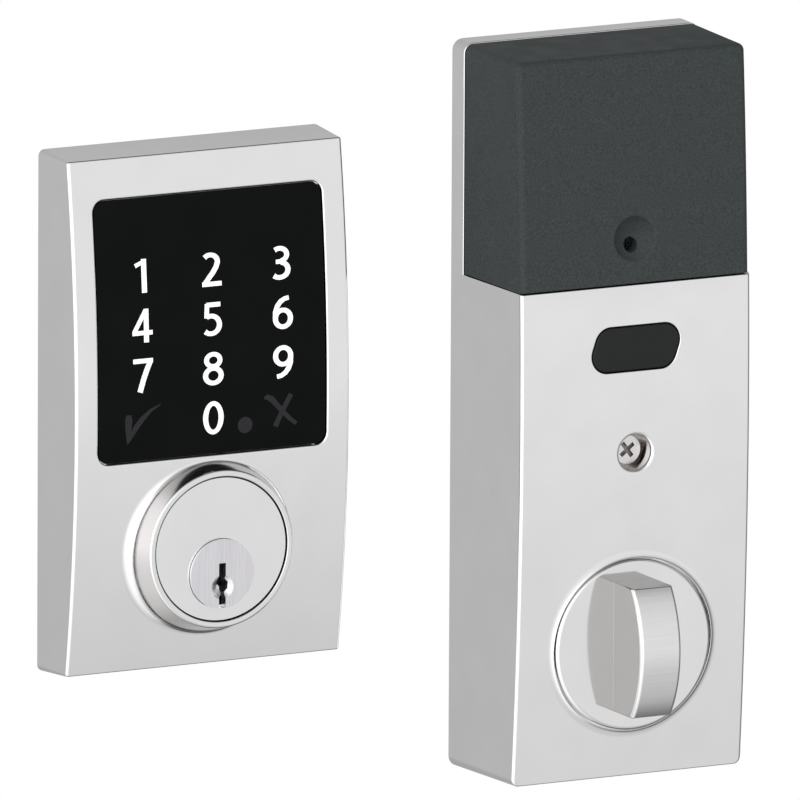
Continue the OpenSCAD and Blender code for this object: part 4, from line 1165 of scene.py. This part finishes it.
def thumb_disc():
    """The polished disc behind the grip, with a rounded rim."""
    low, high = mm_box("thumbturn_disc")
    disc = Round((low.x + high.x) / 2, (low.z + high.z) / 2, 0, 128)
    radius = (high.x - low.x) / 2
    skin = Skin()
    skin.cap(*skin.walk(moulded(disc, [
        (2, low.y, 0), (radius, low.y, 1.1), (radius, high.y, 0.15), (2, high.y, 0)])))
    skin.finish("thumbturn_disc_turned", "thumbturn", "trim_chrome", "thumbturn_disc")


def thumb_grip():
    """The grip: flat sides, a bowed front and softly rounded long edges."""
    low, high = mm_box("thumbturn")
    foot_y = mm_box("thumbturn_disc")[0].y
    half, sag = (high.z - low.z) / 2, 5.5
    arc = Bow(-low.y, (half * half + sag * sag) / 2 / sag, (low.z + high.z) / 2)
    shape = Panel((low.x, low.z), (high.x, high.z), 0.5, step=1.5, arc=3)

    def soft(x, z, nx, nz):
        return 0.35 + 0.75 * nx * nx

    skin = Skin()
    back, front = skin.walk(
        [(shape, -0.1, level(foot_y), 0.05, -90, 1), (shape, 0, level(foot_y), -0.05, 0, 1)]
        + rounded(shape, arc, soft, 1, steps=6))
    skin.cap(back)
    skin.fill([front], skin.grid(shape, [], arc, 0, step=(2.5, 1.2)))
    # the grip's finish darkens its flat sides as painted shade
    skin.finish("thumbturn_grip", "thumbturn", "trim_chrome", "thumbturn", "grip_chrome_painted_shade")


def press_button():
    """The oval button: a leaning bar with soft edges, its flange and its stem."""
    low, high = mm_box("oval_button")
    stem = Round((low.x + high.x) / 2, (low.z + high.z) / 2, 0, 24)
    flange_y, flange, back_y = -36.2, 1.7, -34.5
    skin = Skin()
    skin.cap(*skin.walk(moulded(button_outline(0), [
        (-3.5, low.y, 0), (0, low.y, 0.5), (0, flange_y, 0.05), (flange, flange_y, 0.15), (flange, back_y, 0.15),
        (-3.5, back_y, 0)])))
    skin.cap(*skin.walk(moulded(stem, [
        (0.3, back_y - 0.05, 0), (1.8, back_y - 0.05, 0.02), (1.8, high.y, 0.25), (0.3, high.y, 0)])))
    skin.finish("oval_button_moulded", "oval_button", "button_plastic", "oval_button")


def button_coil():
    """The button's spring, wound from round wire between the board and the button."""
    low, high = mm_box("button_spring")
    wire, turns, sides, steps = 0.3, 4, 10, 28
    x, z, radius = (low.x + high.x) / 2, (low.z + high.z) / 2, (high.x - low.x) / 2 - wire
    bm = bmesh.new()
    rings = []
    for i in range(turns * steps + 1):
        a = 2 * math.pi * i / steps
        out = Vector((math.cos(a), 0, math.sin(a)))
        middle = Vector((x, high.y - wire - (high.y - low.y - 2 * wire) * i / (turns * steps), z)) + radius * out
        ring = []
        for k in range(sides):
            b = 2 * math.pi * k / sides
            ring.append(bm.verts.new((middle + wire * (math.cos(b) * out + math.sin(b) * Vector((0, 1, 0)))) * MM))
        rings.append(ring)
    for first, second in zip(rings, rings[1:]):
        for k in range(sides):
            bm.faces.new((first[k], first[(k + 1) % sides], second[(k + 1) % sides], second[k])).smooth = True
    bm.faces.new(rings[0])
    bm.faces.new(rings[-1])
    bmesh.ops.recalc_face_normals(bm, faces=bm.faces)
    piece = finish_piece("button_spring_wound", made_mesh(bm, "button_spring_wound"),
                         "lock_body", "spring_steel", "button_spring")
    bpy.context.view_layer.update()
    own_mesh(piece)


# ---------- the object ----------

# the fronts' radii, the casings' wall and how far their sides lean in, in millimetres
OUTSIDE_BOW = 450.0
INSIDE_BOW = 1243.0
WALL = 2.2
DRAFT = 1.05

# places in the row's frame, in millimetres
COLLAR_Z = 6.6
INSIDE_X = 117.4
SCREW_Z = 24.6
COVER_SCREW_Z = 80.6
SEAM_Z = 70.3

# the front screw's recess, and how far the glass lies below the casing's front
RECESS_R = 4.85
GLASS_SINK = 0.35

# rounding in millimetres of each node that is finished from its CAD shape
EDGES = {
    "cylinder_housing": 0.3, "key_plug": 0.35, "housing_screw": 0.25, "cover_screw": 0.12,
    "exterior_back_plate": 0.2, "mounting_posts": 0.3, "tailpiece": 0.15,
    "weather_gasket": 0.25, "cable_grommet": 0.4, "support_plate": 0.3, "spindle_hub": 0.2, "turn_bushing": 0.2,
    "exterior_back_plate_screws": 0.2, "cylinder_screws": 0.2, "upper_housing_screws": 0.25, "battery_tray": 0.4,
    "aa_cells": 0.5, "battery_terminals": 0.1, "screen_gasket": 0.1, "screen_carrier": 0.2, "gear_chassis": 0.2,
    "gear_motor": 0.4, "plug_retainer": 0.15, "touch_board_connector": 0.15, "cable_socket": 0.15,
    "radio_module": 0.25, "alarm_sounder": 0.5, "tact_switch": 0.15, "position_sensor": 0.15,
}

# what else changes in such a copy
CHANGES = {
    "cylinder_housing": {"change": sunk_disc},
    # the screw's finish paints shade into its cross and round its head
    "housing_screw": {"change": turned_cross, "finish": "screw_chrome_painted_shade"},
}

MATERIALS = make_materials()
add_camera()
add_world()
add_floor()
add_lamp("key_light", -62, 38, 1.6, 0.9, 7)
add_lamp("fill_light", 40, 20, 1.8, 1.2, 4)
add_lamp("rear_light", 160, 10, 1.8, 1.0, 3)

for name, node in frame["nodes"].items():
    node.data.materials.clear()
    node.data.materials.append(MATERIALS[node_slot(name)])

outside_casing()
cover_glass()
keypad_print()
cylinder_collar()
inside_housing()
battery_lid()
press_button()
button_coil()
thumb_disc()
thumb_grip()
for name, edge in EDGES.items():
    refined(name, edge, **CHANGES.get(name, {}))

scene = bpy.context.scene
scene.view_settings.view_transform = "Standard"
scene.view_settings.look = "None"
